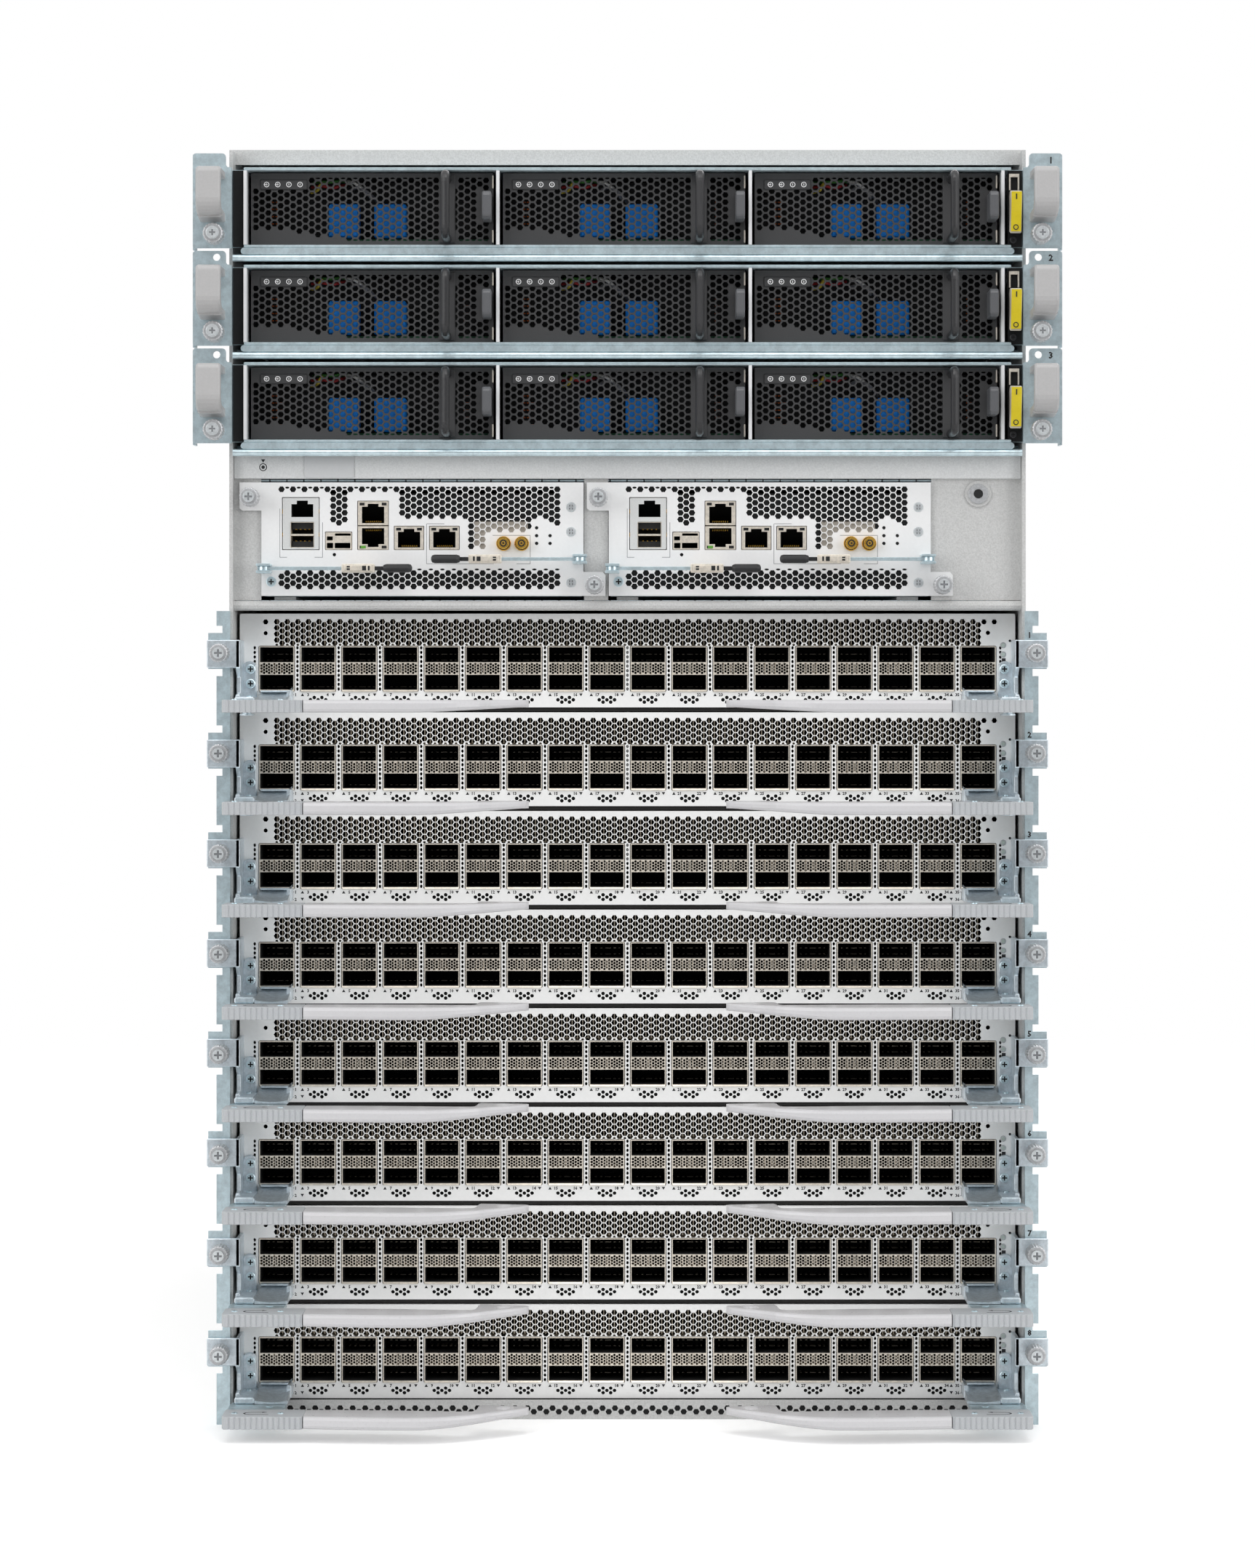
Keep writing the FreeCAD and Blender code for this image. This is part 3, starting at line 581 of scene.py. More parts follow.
def text_mesh(words, size, x, y, z):
    """Raised print that faces the front, centred on x, with its foot at z."""
    curve = bpy.data.curves.new("print", "FONT")
    curve.body = words
    curve.size = size * 1.38 * MM
    curve.extrude = 0.03 * MM
    curve.offset = size * 0.05 * MM
    curve.align_x = "CENTER"
    curve.resolution_u = 1
    made = curve_mesh(curve)
    welded = bmesh.new()
    welded.from_mesh(made)
    bmesh.ops.remove_doubles(welded, verts=welded.verts[:], dist=0.000001)
    welded.to_mesh(made)
    welded.free()
    made.transform(Matrix.Translation((x * MM, y * MM, z * MM)) @ Matrix.Rotation(math.pi / 2, 4, "X"))
    return painted(made, printed_ink)


numbers = [text_mesh(str(n + 1), 3.2, side_x + 1.9, rail_y - 0.04, low + 38.7)
           for n, low in enumerate(card_z)]
finish_mesh("slot_numbers", joined(*numbers), "chassis")


# ---------------------------------------------------------------- card guides and tray runners
# Folded channels spot welded to the inside of the side panels, one pair for each card,
# and a ledge on each side for every power tray.
dress("wall_guides", zinc_sheet)


# ---------------------------------------------------------------- shelves and cross tube
# Sheet steel shelves over the line cards and the supervisors, and a bright steel tube
# across the front that stiffens the cabinet where the lower shelf starts.
dress("mid_shelves", cabinet_coat)


# ---------------------------------------------------------------- name bar
# A strip of painted sheet steel over the supervisors, with one smooth raised plate near its
# left end and a small screen printed ring. The place for a name is left bare.
def ring_mark(shape, x, z, inner, outer, y, lean=0.0):
    """A printed ring 0.3 mm deep on a face at y that may lean forward as it rises."""
    corners = [[(r * math.cos(math.pi * k / 12), r * math.sin(math.pi * k / 12)) for k in range(25)]
               for r in (inner, outer)]
    for k in range(24):
        part = [corners[0][k], corners[1][k], corners[1][k + 1], corners[0][k + 1]]
        shape.loft([[(x + a, y - lean * b + sink, z + b) for a, b in part] for sink in (0.0, 0.3)])


plate_paint = powder_coat("smooth grey plate", "#cfd0d1", 1.2, 0.35, 0.02)
bar_coat = powder_coat("pale name bar coat", "#dcdddd", 0.8, 0.45, 0.08)
bar_low, bar_high = box_mm("name_bezel")
bar_y = bar_low[1] + 0.8
name_bar = Shape()
name_bar.box(bar_low[0], bar_high[0], bar_y, bar_y + 3, bar_low[2], bar_high[2], bevel=0.5)
for x in (bar_low[0], bar_high[0] - 12):
    name_bar.box(x, x + 12, bar_y + 3, bar_high[1], bar_low[2], bar_high[2] - 2.3)
plate = Shape().prism(rectangle(-180.2, -152.4, bar_low[2] + 0.3, bar_high[2] - 0.3, 1.6), bar_low[1],
                      bar_y, "Y", bevel=0.3)
mark = Shape()
mark_x, mark_z = -203.2, (bar_low[2] + bar_high[2]) / 2
ring_mark(mark, mark_x, mark_z - 0.6, 1.7, 2.2, bar_y - 0.05)
for outline in (circle(mark_x, mark_z - 0.6, 1.0, 14),
                [(mark_x - 1.2, mark_z + 3.8), (mark_x, mark_z + 1.9), (mark_x + 1.2, mark_z + 3.8)]):
    mark.prism(outline, bar_y - 0.05, bar_y + 0.2, "Y")
finish_mesh("name_bar", joined(name_bar.mesh(bar_coat), plate.mesh(plate_paint), mark.mesh(printed_ink)),
            "chassis", ("name_bezel",))


# ---------------------------------------------------------------- filler panels
# Painted sheet columns beside and between the supervisors, riveted to the enclosure. The
# right one has a round boss with a bore for the earthing socket.
dress("filler_panels", cabinet_coat)


# ---------------------------------------------------------------- line card faceplates
# Eight blades with a steel faceplate, painted nearly white. It is punched with a honeycomb
# across the top, windows for the port cages, slots between them and hole clusters below.
cages = 18
cage_step = 23.17
cage_x = [(n - (cages - 1) / 2) * cage_step for n in range(cages)]
face_y = front_y + 27
plate_half = 217.7
card_paint = powder_coat("near-white card paint", "#f2f2f1", 1.4, 0.4, 0.015)

vent_holes = hex_rows(-197, 197, 48.1, 35.9, 3.42, 3.0)
columns = sorted(set(round(h[0], 3) for h in vent_holes))
vent_holes += [(x, 35.15, 0.8, 0.7, True) for x in columns[0::2]]
vent_holes += [(x, 48.05, 1.6, 1.6, False) for x in (-203.2, 200.2, 206.0)]
slots = round_holes(1.2, [(-203.2, 41.7)]) + round_holes(1.25, [(202.4, 41.9)])
for one, two in zip(cage_x, cage_x[1:]):
    slots += [((one + two) / 2, 10.36 + 2.566 * k, 0.72, 1.0, True) for k in range(10)]
for x in (cage_x[0] - 12.4, cage_x[-1] + 12.4):
    slots += [(x, 33.45 - 2.566 * k, 0.72, 1.0, True) for k in range(4)]
clusters = []
for x in cage_x:
    clusters += round_holes(1.05, [(x + dx, z) for dx, z in (
        (-4.3, 4.27), (0, 4.27), (4.3, 4.27), (-2.14, 5.56), (2.14, 5.56), (-2.14, 2.98), (2.14, 2.98))])
windows = [rectangle(x - 10.25, x + 10.25, 8.7, 34.65, 0.9) for x in cage_x]
faceplate = sheet_mesh([rectangle(-plate_half, plate_half, 0, card_high, 1.2)] + windows,
                       vent_holes + slots + clusters, face_y, 1.5, card_paint)
lips = boxes(card_paint, (-plate_half, plate_half, 1.5, 11, card_high - 1.2, card_high),
             (-plate_half, plate_half, 1.5, 11, 0, 1.2),
             *[(x, x + 1.2, 1.5, 11, 1.2, card_high - 1.2) for x in (-plate_half, plate_half - 1.2)],
             y=face_y)
# Painted shade: a black strip behind each cluster of small holes stands in for the shade behind the
# faceplate.
screen = boxes(black_plastic_and_shade, *[(x - 7, x + 7, 1.9, 2.2, 1.4, 7.4) for x in cage_x], y=face_y)
# The gasket is near black, partly its own colour and partly painted shade for the dark gap between the cards.
gasket_cloth = moulded("woven dark gasket", "#1d1c1b", 0.8, 0.8, 0.1)
gasket = boxes(gasket_cloth, (-plate_half + 2.0, plate_half - 2.0, 2, 9, -2.5, -0.02), y=face_y, bevel=0.5)


def on_cards(label, mesh):
    """Gives every line card its own copy of a mesh drawn for a card at height zero."""
    for n, low in enumerate(card_z):
        node = f"line_card_{n + 1}"
        finish_mesh(f"card_{n + 1}_{label}", moved(mesh, z=low), node, (node,))


on_cards("faceplate", joined(faceplate, lips, screen, gasket))


# ---------------------------------------------------------------- port cages
# Stacked cages drawn from nickel plated steel: a thin rim, a socket above and one below,
# and a honeycomb grille between them. Black plastic connectors with gold contacts fill them.
cage_half, cage_low, cage_top = 9.85, 9.0, 34.3
openings = (9.9, 25.4)
strip = []
for column in range(13):
    x = (column - 6) * 1.42
    rows = (-2.46, -0.82, 0.82, 2.46) if column % 2 else (-1.64, 0.0, 1.64)
    strip += [(x, 21.85 + z, 0.78, 0.78, False) for z in rows]
cage_face = sheet_mesh(
    [rectangle(-cage_half, cage_half, cage_low, cage_top, 0.6)]
    + [rectangle(-cage_half + 0.5, cage_half - 0.5, low, low + 8.4, 0.3) for low in openings],
    strip, face_y - 0.4, 0.6, nickel_cage)
shell = Shape(face_y).cup(-cage_half, cage_half, 0.2, 46, cage_low, cage_top, 0.4)
for z in (18.3, 25.0):
    shell.box(-9.3, 9.3, 0.2, 44, z, z + 0.4)
shell.prism([(-1.3, 9.0), (-0.4, 8.8), (0.2, 8.8), (0.2, 9.9), (-0.5, 9.9)], -9.4, 9.4, "X")
for x in (-3.9, -2.0, 0.1, 1.9):
    shell.box(x - 0.25, x + 0.25, 3, 20, 18.8, 24.9)
cage_metal = joined(cage_face, shell.mesh(nickel_cage))

insides = Shape(face_y)
for low in openings:
    insides.cup(-9.4, 9.4, 0.4, 43, low - 0.05, low + 8.45, 0.25)
    insides.box(-8.2, 8.2, 24, 42.8, low + 0.8, low + 7.2)
# Painted shade: a black block behind the honeycomb strip stands in for the shade inside the cage.
insides.box(-9.3, 9.3, 22, 24, 18.8, 24.9)
contacts = boxes(bare_aluminium, *[
    (x - half, x + half, 16, 24.2, z, z + 0.22) for z in (11.5, 26.6, 30.0)
    for x, half in ((-6.2, 0.5), (-3.2, 0.6), (0.6, 1.7), (4.4, 0.7), (7.0, 0.5))], y=face_y)
copy_spots = [(x, 0, 0) for x in cage_x]
on_cards("cages", joined(copies(cage_metal, copy_spots, nickel_cage),
                         copies(insides.mesh(), copy_spots, black_plastic_and_shade),
                         copies(contacts, copy_spots, bare_aluminium)))


# ---------------------------------------------------------------- lever brackets and thumbscrews
# A die-cast bracket holds each lever: a screwed pad, a rib beside it and a scooped shelf over
# the lever's pivot. A knurled captive screw through its ear draws the card to the rail.
def cross_loop(x, z, reach, half):
    """The outline of a cross recess."""
    steps = [(reach, half), (half, half), (half, reach)]
    loop = []
    for turn in range(4):
        c, s = [(1, 0), (0, 1), (-1, 0), (0, -1)][turn]
        loop += [(x + c * u - s * v, z + s * u + c * v) for u, v in steps]
    return loop


def screw_head(radius, high, recess, finish, sides=16, pit_finish=None):
    """A flat-sided round head at the origin that faces the front, with a cross recess."""
    cap = sheet_mesh([circle(0, 0, radius * 0.86, sides), cross_loop(0, 0, recess, recess * 0.26)], [],
                     -high, high * 0.5, finish)
    skirt = Shape()
    skirt.loft([[(x, y, z) for x, z in circle(0, 0, r, sides)] for r, y in (
        (radius * 0.86, -high * 0.5), (radius, -high * 0.35), (radius, 0.0))])
    # Painted shade: a dark disc under the cross recess stands in for the shade inside it.
    pit = Shape()
    pit.prism(circle(0, 0, recess * 1.05, 12), -high * 0.56, -high * 0.5, "Y")
    return joined(cap, skirt.mesh(finish), pit.mesh(pit_finish or black_plastic_and_shade))


def knurled_knob(radius, length, finish):
    """A captive thumbscrew that stands forward from the origin."""
    teeth = 18
    ring = []
    for n in range(teeth * 3):
        r = radius if n % 3 else radius - 0.3
        ring.append((r * math.cos(2 * math.pi * n / teeth / 3), r * math.sin(2 * math.pi * n / teeth / 3)))
    barrel = Shape()
    small = [(x * 0.86, z * 0.86) for x, z in ring]
    middle = [(x * 0.96, z * 0.96) for x, z in ring]
    barrel.loft([[(x, y, z) for x, z in loop] for loop, y in (
        (small, -length), (middle, -length + 0.4), (ring, -length + 1.2), (ring, -3.2), (small, -2.4),
        (small, 0.0))])
    barrel.rod(0, -length - 1.0, 0, radius * 0.6, 1.2, "Y", 16)
    cap = sheet_mesh([circle(0, 0, radius * 0.6, 16), cross_loop(0, 0, radius * 0.4, radius * 0.1)], [],
                     -length - 1.7, 0.7, knob_cap)
    # Painted shade: a grey disc under the cap's cross recess.
    pit = Shape()
    pit.prism(circle(0, 0, radius * 0.44, 12), -length - 1.12, -length - 1.0, "Y")
    return joined(barrel.mesh(finish), cap, pit.mesh(recess_shade_grey))


small_screw = screw_head(2.6, 1.4, 1.5, zinc_sheet)
tiny_screw = screw_head(1.7, 0.8, 1.0, zinc_sheet)
knob_cap = metal("brushed cap of a thumbscrew", "#e2e6e8", 0.3, 0.3, spangle_mm=1.5, bare=0.5)
# A mid grey for the bottoms of cross recesses and small holes: painted shade.
recess_shade_grey = moulded("shaded driver recess", "#85878a", 0.6)
satin_knob = metal("satin nickel knob", "#c2c3c5", 0.38, 0.3, spangle_mm=1.5, bare=0.45)
knob = knurled_knob(5.3, 15.2, satin_knob)

bracket = Shape()
shelf_y = front_y - 5
rib_x = plate_half - 2.4
plate_y = front_y + 3
knob_low, knob_top = card_high - 30.6, card_high - 15.1
side_view = [
    (plate_y, 2.3), (face_y, 2.3), (face_y, knob_top), (plate_y, knob_top), (plate_y, 22),
    (front_y + 9, 17), (front_y + 9, 8), (plate_y, 7)]
bracket.prism(side_view, rib_x, plate_half, "X", bevel=0.4)
bracket.box(rib_x, plate_half + 16, plate_y, plate_y + 2, knob_low, knob_top, bevel=0.5)
pad = [(plate_half - 9.8, 4), (plate_half - 2.0, 4), (plate_half - 2.0, 23)]
pad += [(plate_half - 6 + 3.9 * math.cos(a), 23 + 3 * math.sin(a)) for a in (0.5, 1.1, 1.6, 2.1, 2.7)]
bracket.prism(pad, face_y - 3, face_y, "Y", bevel=0.5)
bracket.box(pivot_x - 4.5, plate_half, shelf_y, face_y, 2.3, 5.8, bevel=0.8)
shelf_x, shelf_low, shelf_top = 188.1, 2.3, 8.8
scoop = []
for step in range(9):
    t = step / 8
    x = shelf_x + (pivot_x - 4.5 - shelf_x) * t
    dip, rise = 1.9 * math.sin(math.pi * t) ** 0.8, 2.6 * max(0.0, 1 - t * 6)
    ring = [(x, shelf_y + 0.5, shelf_low), (x, face_y, shelf_low), (x, face_y, shelf_top + rise)]
    for k in range(1, 6):
        y = face_y + (shelf_y + 0.5 - face_y) * k / 5
        ring.append((x, y, shelf_top - 4.6 * (k / 5) ** 0.7 - dip * math.sin(math.pi * k / 6)
                     + rise * (1 - k / 5)))
    scoop.append(ring)
bracket.loft(scoop)
bracket.box(shelf_x, 205.6, face_y - 6.0, face_y - 0.2, 8.6, 9.6, bevel=0.4)
bracket.box(187.6, 190.2, face_y - 14.0, face_y - 0.2, 2.3, 9.6, bevel=0.5)
bracket.rod(pivot_x, front_y, -3.6, 2.6, 5.9, "Z", 14)
bracket.rod(pivot_x, front_y, -4.6, 4.2, 1.0, "Z", 16, bevel=0.3)
pad_screws = [moved(small_screw, plate_half - 6.4, face_y - 3, z) for z in (21.5, 13.3)]
shelf_screw = tiny_screw.copy()
shelf_screw.transform(Matrix.Rotation(-math.pi / 2, 4, "X"))
right_set = joined(bracket.mesh(die_cast), *pad_screws,
                   moved(shelf_screw, plate_half - 6.1, front_y + 21.5 - 3, 5.8),
                   moved(knob, 225.7, plate_y, card_high - 22.6))
on_cards("brackets", joined(right_set, moved(right_set, mirror=True)))


# ---------------------------------------------------------------- line card boards
# Behind the faceplate lie a folded steel carrier, the green circuit board, aluminium heat
# sinks whose upright fins show through the honeycomb, and the connectors at the rear.
board_laminate = moulded("green solder mask", "#1f5a3a", 0.35, 3.0, 0.01, 0.15)
chip_black = moulded("black epoxy", "#17181a", 0.55)
board_z = 6.6
carrier = boxes(zinc_sheet, (-217.4, 217.4, 14, 388, 1.5, 3.4), (-207, 207, 2, 14, 1.5, 3.4),
                (-199, 199, 8, 380, 3.5, board_z), y=face_y)
board = boxes(board_laminate, (-207.6, 207.6, 4, 388, board_z, board_z + 1.6), y=face_y)
fins = Shape(face_y)
for x in columns:
    fins.box(x - 0.22, x + 0.22, 4.5, 60, 35.3, 49.5)
fins.box(-198, 198, 12, 60, 34.9, 35.3)
chips = Shape(face_y)
sink_step, sink_wide = 64, 52
for x0 in [-186 + sink_step * bank for bank in range(6)]:
    chips.box(x0 + 6, x0 + 46, 84, 220, board_z + 1.6, board_z + 4, bevel=0.4)
    fins.box(x0, x0 + sink_wide, 76, 230, board_z + 4, board_z + 7)
    for k in range(18):
        x = x0 + 0.6 + k * 2.95
        fins.box(x, x + 0.9, 76, 230, board_z + 7, 44)
for row in range(3):
    for k in range(14):
        x, y = -182 + k * 27.5, 252 + row * 34
        chips.box(x, x + 17, y, y + 17, board_z + 1.6, board_z + 3.4, bevel=0.3)
for k in range(8):
    x = -188 + k * 48.5
    chips.box(x, x + 34, 372, 400, board_z + 1.6, 40, bevel=0.8)
on_cards("board", joined(carrier, board, fins.mesh(bare_aluminium),
                         chips.mesh(chip_black)))


# ---------------------------------------------------------------- line card print and lamps
# Port numbers with arrows are screen printed under the cages, and two small round light
# guides in metal rings sit in the faceplate at its right end.
arrows = Shape(face_y)
ink = (-0.06, 0)
up_arrows = [(x - 8.75, 6.3) for x in cage_x[1:-1]] + [(cage_x[-2] + 8.0, 6.3)]
down_arrows = [(x + 8.6, 6.3) for x in cage_x[1:-2]] + [(-182.6, 2.4), (cage_x[-2] + 8.0, 2.4)]
for x, z in up_arrows:
    arrows.prism([(x - 0.95, z), (x + 0.95, z), (x, z + 1.6)], *ink, "Y")
for x, z in down_arrows:
    arrows.prism([(x - 0.95, z + 1.5), (x + 0.95, z + 1.5), (x, z - 0.1)], *ink, "Y")
port_labels = []
for n, x in enumerate(cage_x[1:-1]):
    port_labels += [(2 * n + 3, x - 5.5, 6.3), (2 * n + 4, x + 5.4, 6.3)]
port_labels += [(1, -186.3, 6.3), (2, -186.3, 2.2), (35, 185.2, 6.3), (36, 185.2, 2.2)]
marks = [text_mesh(str(port), 1.7, x, face_y - 0.03, z) for port, x, z in port_labels]
for x, inward in ((-188.2, 1.0), (187.6, -1.0)):
    arrows.box(x - 0.1, x + 0.1, *ink, 2.9, 7.2)
    for z in (2.8, 7.1):
        arrows.box(*sorted((x, x + inward)), *ink, z, z + 0.2)
arrows.box(210.1, 212.3, *ink, 25.4, 27.6)
arrows.prism(circle(214.7, 37.4, 0.75, 10), *ink, "Y")
lens = moulded("milky light guide", "#b9c4bd", 0.25)
lamps, rims = Shape(face_y), Shape(face_y)
for z in (34.9, 29.7):
    rims.rod(210.9, -0.3, z, 1.75, 0.6, "Y", 16, bevel=0.15)
    lamps.rod(210.9, -0.55, z, 1.15, 0.6, "Y", 12, bevel=0.2)
on_cards("print", joined(arrows.mesh(printed_ink), *marks, lamps.mesh(lens),
                         rims.mesh(satin_knob)))


# ---------------------------------------------------------------- ejector levers
# A zinc plated steel core turns on the bracket's pin. A ribbed grip is moulded round it, and
# a smooth bar runs on from the grip, sweeps back and ends in a paddle with a finger hollow.
grip_plastic = moulded("satin grey nylon grip", "#b6b9bc", 0.42, 0.7, 0.03)
bar_paint = powder_coat("satin silver-grey lever paint", "#cecdcf", 1.2, 0.3, 0.02)

plan_front = [(176, -53.6), (160, -55.2), (140, -57), (125, -58), (110, -57.8), (100, -55.5), (92, -52.5),
              (85, -49), (80, -46), (75, -42), (68, -37.4), (62, -33.4), (57, -29.6), (55.4, -28.2),
              (54.2, -26)]
plan_back = [(176, -30.6), (160, -30.5), (140, -31.5), (125, -32.5), (110, -34), (100, -35), (92, -35.6),
             (84.5, -35.6), (83, -32), (81.8, -20), (80.5, -16), (75, -16.8), (68, -18.3), (62, -19.6),
             (57, -20.2), (55.4, -20.8), (54.2, -22.6)]


def along(path, x):
    """The y of a plan line at x."""
    for (xa, ya), (xb, yb) in zip(path, path[1:]):
        if xb <= x <= xa:
            return ya + (yb - ya) * (xa - x) / (xa - xb)
    return path[0][1] if x > path[0][0] else path[-1][1]


stations = [175.5, 172, 167, 160, 150, 140, 132, 125, 118, 112, 106, 101, 97, 93, 90, 87, 85, 84, 83.2, 82.5,
            81.8, 81.1, 80.4, 79, 77.5, 76, 74.5, 73, 71.5, 70, 68.5, 67, 65.5, 64, 62.5, 61, 59.5, 58, 56.5,
            55.4, 54.6, 54.2]
rings = []
for x in stations:
    y0, y1 = along(plan_front, x), along(plan_back, x)
    low = -2.8 + 2.9 * min(max((110 - x) / 52, 0), 1)
    high = 4.1
    r = min(1.9, (high - low) / 3, (y1 - y0) / 3)
    ring = [(x, y0, low + r), (x, y0, (low + high) / 2), (x, y0, high - r), (x, y0 + r * 0.3, high - r * 0.3)]
    for k in range(13):
        y = y0 + r + (y1 - y0 - 2 * r) * k / 12
        hollow = 1.7 * math.exp(-(((x - 67.5) / 3.4) ** 2 + ((y + 27.5) / 3.6) ** 2) ** 2)
        hollow += 0.6 * math.exp(-(((x - 79.5) / 3.0) ** 2 + ((y + 30) / 5.0) ** 2))
        ring.append((x, y, high - hollow))
    ring += [(x, y1 - r * 0.3, high - r * 0.3), (x, y1, high - r), (x, y1, low + r),
             (x, y1 - r * 0.3, low + r * 0.3), (x, y1 - r, low), (x, y0 + r, low),
             (x, y0 + r * 0.3, low + r * 0.3)]
    rings.append(ring)
bar = Shape(front_y).loft(rings).mesh(bar_paint)

grip_face = -54
grip_plan = [(219.4, -31), (219.8, -34), (219.8, -51), (219.0, -53.6)]
x = 218.2
while x > 178:
    grip_plan += [(x, grip_face), (x - 1.9, grip_face), (x - 2.25, grip_face + 0.7),
                  (x - 2.75, grip_face + 0.7)]
    x -= 3.0
grip_plan += [(176.2, grip_face), (175.6, -50), (175.6, -34), (176.2, -31)]
grip = Shape(front_y).prism(grip_plan, -2.8, 4.1, "Z", bevel=0.28).mesh(grip_plastic)


def stroke(start, end, half):
    """The outline of a straight bar between two points, with its half width."""
    (xa, ya), (xb, yb) = start, end
    size = math.hypot(xb - xa, yb - ya)
    nx, ny = -(yb - ya) / size * half, (xb - xa) / size * half
    return [(xa + nx, ya + ny), (xb + nx, yb + ny), (xb - nx, yb - ny), (xa - nx, ya - ny)]


turn_mark = Shape(front_y)
path = [(195.0, -46.2), (205.0, -46.2), (207.6, -45.2), (208.6, -43.0), (207.6, -40.8), (205.0, -39.8),
        (198.5, -39.8)]
for start, end in zip(path, path[1:]):
    turn_mark.prism(stroke(start, end, 0.45), 4.1, 4.16)
turn_mark.prism([(198.8, -38.2), (198.8, -41.4), (196.2, -39.8)], 4.1, 4.16)
top_screw = screw_head(1.8, 0.5, 1.0, zinc_sheet, 12)
top_screw.transform(Matrix.Rotation(-math.pi / 2, 4, "X"))
grip_screws = joined(*[moved(top_screw, x, front_y - 43, 4.1) for x in (213.7, 188.6)])

core_plan = [(189, -30), (189, 2), (196, 8), (211, 8.5), (216.2, 6.8), (218.8, 3.2), (219.5, 0), (220.2, -6),
             (220.2, -30)]
core = Shape(front_y).prism(core_plan, -0.4, 2.0, "Z", bevel=0.25)
core.rod(197.4, -10.6, 2.0, 2.2, 0.5, "Z", 14, bevel=0.2)
core.rod(217.8, -49, 0.1, 2.2, 2.4, "Z", 12)
right_lever = joined(grip, bar, core.mesh(zinc_sheet), grip_screws, turn_mark.mesh(printed_ink))
for n, low in enumerate(card_z):
    for hand, mirror in (("right", False), ("left", True)):
        node = f"card_lever_{hand}_{n + 1}"
        finish_mesh(f"lever_{hand}_{n + 1}", moved(right_lever, z=low, mirror=mirror), node, (node,))


# ---------------------------------------------------------------- supervisor faceplates
# Two controller blades, each a painted steel plate 63.5 mm high with a punched honeycomb,
# sockets, lamps, two coaxial jacks, flat screws, and thumbscrew tabs at opposite corners.
sup_paint = powder_coat("pale supervisor paint", "#e9e9e9", 1.6, 0.4, 0.015)
sup_high, sup_wide = 63.5, 179.7
sup_left = [place[f"supervisor_{n}_lever_left_hinge"][0] - 2 for n in (1, 2)]
sup_face = place["supervisor_1_lever_left_hinge"][1] + 7
sup_z = place["supervisor_1_lever_left_hinge"][2] - 15.1
vent_column, vent_pitch = 3.205, 3.74


vent_floors = [(39, 47, 40.5), (77.5, 116, 44), (116, 125.5, 27), (125.5, 151, 36.5), (151, 161, 42.8),
               (161, 167, 40)]


def in_vent(x, z):
    """Whether a honeycomb hole may be punched at this place on a supervisor."""
    if z < 15.5:
        return 10 < x < 168 and z > 3.9
    for x0, x1, floor in vent_floors:
        if x0 <= x < x1:
            return z > floor
    return z > 58.5


sup_holes = []
for n, x in enumerate(11.2 + vent_column * n for n in range(49)):
    for k in range(16):
        z = 59.5 - vent_pitch * (k + (0.5 if n % 2 else 0))
        if in_vent(x, z) and (z > 15.5 or z < 14.0):
            sup_holes.append((x, z, 1.85, 1.85, False))
    if n % 2:
        sup_holes.append((x, 60.4, 1.2, 0.62, True))
    if x > 11.5 and n % 2 == 0:
        sup_holes.append((x, 14.75, 1.3, 0.55, True))
lamp_places = [(153.5, 38.0), (153.5, 33.6), (161.0, 33.6), (153.5, 29.3), (161.0, 29.3)]
sup_holes += round_holes(1.0, lamp_places + [(40.7, 23.0)])
socket_holes = [(11.5, 32.5, 25.6, 55.1), (35.5, 50.7, 25.6, 35.9), (53.5, 71.1, 25.6, 53.1),
                (73.9, 90.8, 25.6, 39.1), (93.5, 110.6, 25.6, 39.1)]
sup_outline = [
    (-12.2, 63.3), (-12.2, 49.0), (-10.6, 47.6), (0, 47.6), (0, 0), (191.9, 0), (191.9, 11.6), (190.3, 13.4),
    (sup_wide, 13.4), (sup_wide, 63.3)]
sup_sheet = sheet_mesh([sup_outline] + [rectangle(*s, 0.4) for s in socket_holes], sup_holes,
                       sup_face, 1.6, sup_paint)
sup_edge = boxes(sup_paint, (0.4, sup_wide - 0.4, 1.6, 9, 61.9, 63.1),
                 (0.4, sup_wide - 0.4, 1.6, 9, 0.2, 1.4), (0.4, 1.6, 1.6, 9, 1.4, 61.9),
                 (sup_wide - 1.6, sup_wide - 0.4, 1.6, 9, 1.4, 61.9),
                 (1.0, 9.2, -0.15, 0, 19.2, 58.4), y=sup_face)
# Painted shade: a small black square behind every honeycomb hole stands in for the shade behind the
# faceplate.
shadow = Shape().box(-2.2, 2.2, -0.1, 0.1, -2.2, 2.2)
behind_holes = [(x, sup_face + 1.85, min(max(z, 3.9), 59.3)) for x, z, *_ in sup_holes
                if not (118 < x < 149 and 25 < z < 42)]
sup_plate = joined(sup_sheet, sup_edge, copies(shadow.mesh(), behind_holes, black_plastic_and_shade))

light_filter = moulded("beige filter foam", "#b5aea4", 0.7, 0.6, 0.08, 0.2)
sup_filter = boxes(light_filter, (118.6, 126.0, 1.7, 2.6, 25.8, 41.6), (126.0, 148.6, 1.7, 2.6, 35.0, 41.6),
                   y=sup_face)
flat_screw = screw_head(2.85, 0.7, 1.5, zinc_sheet)
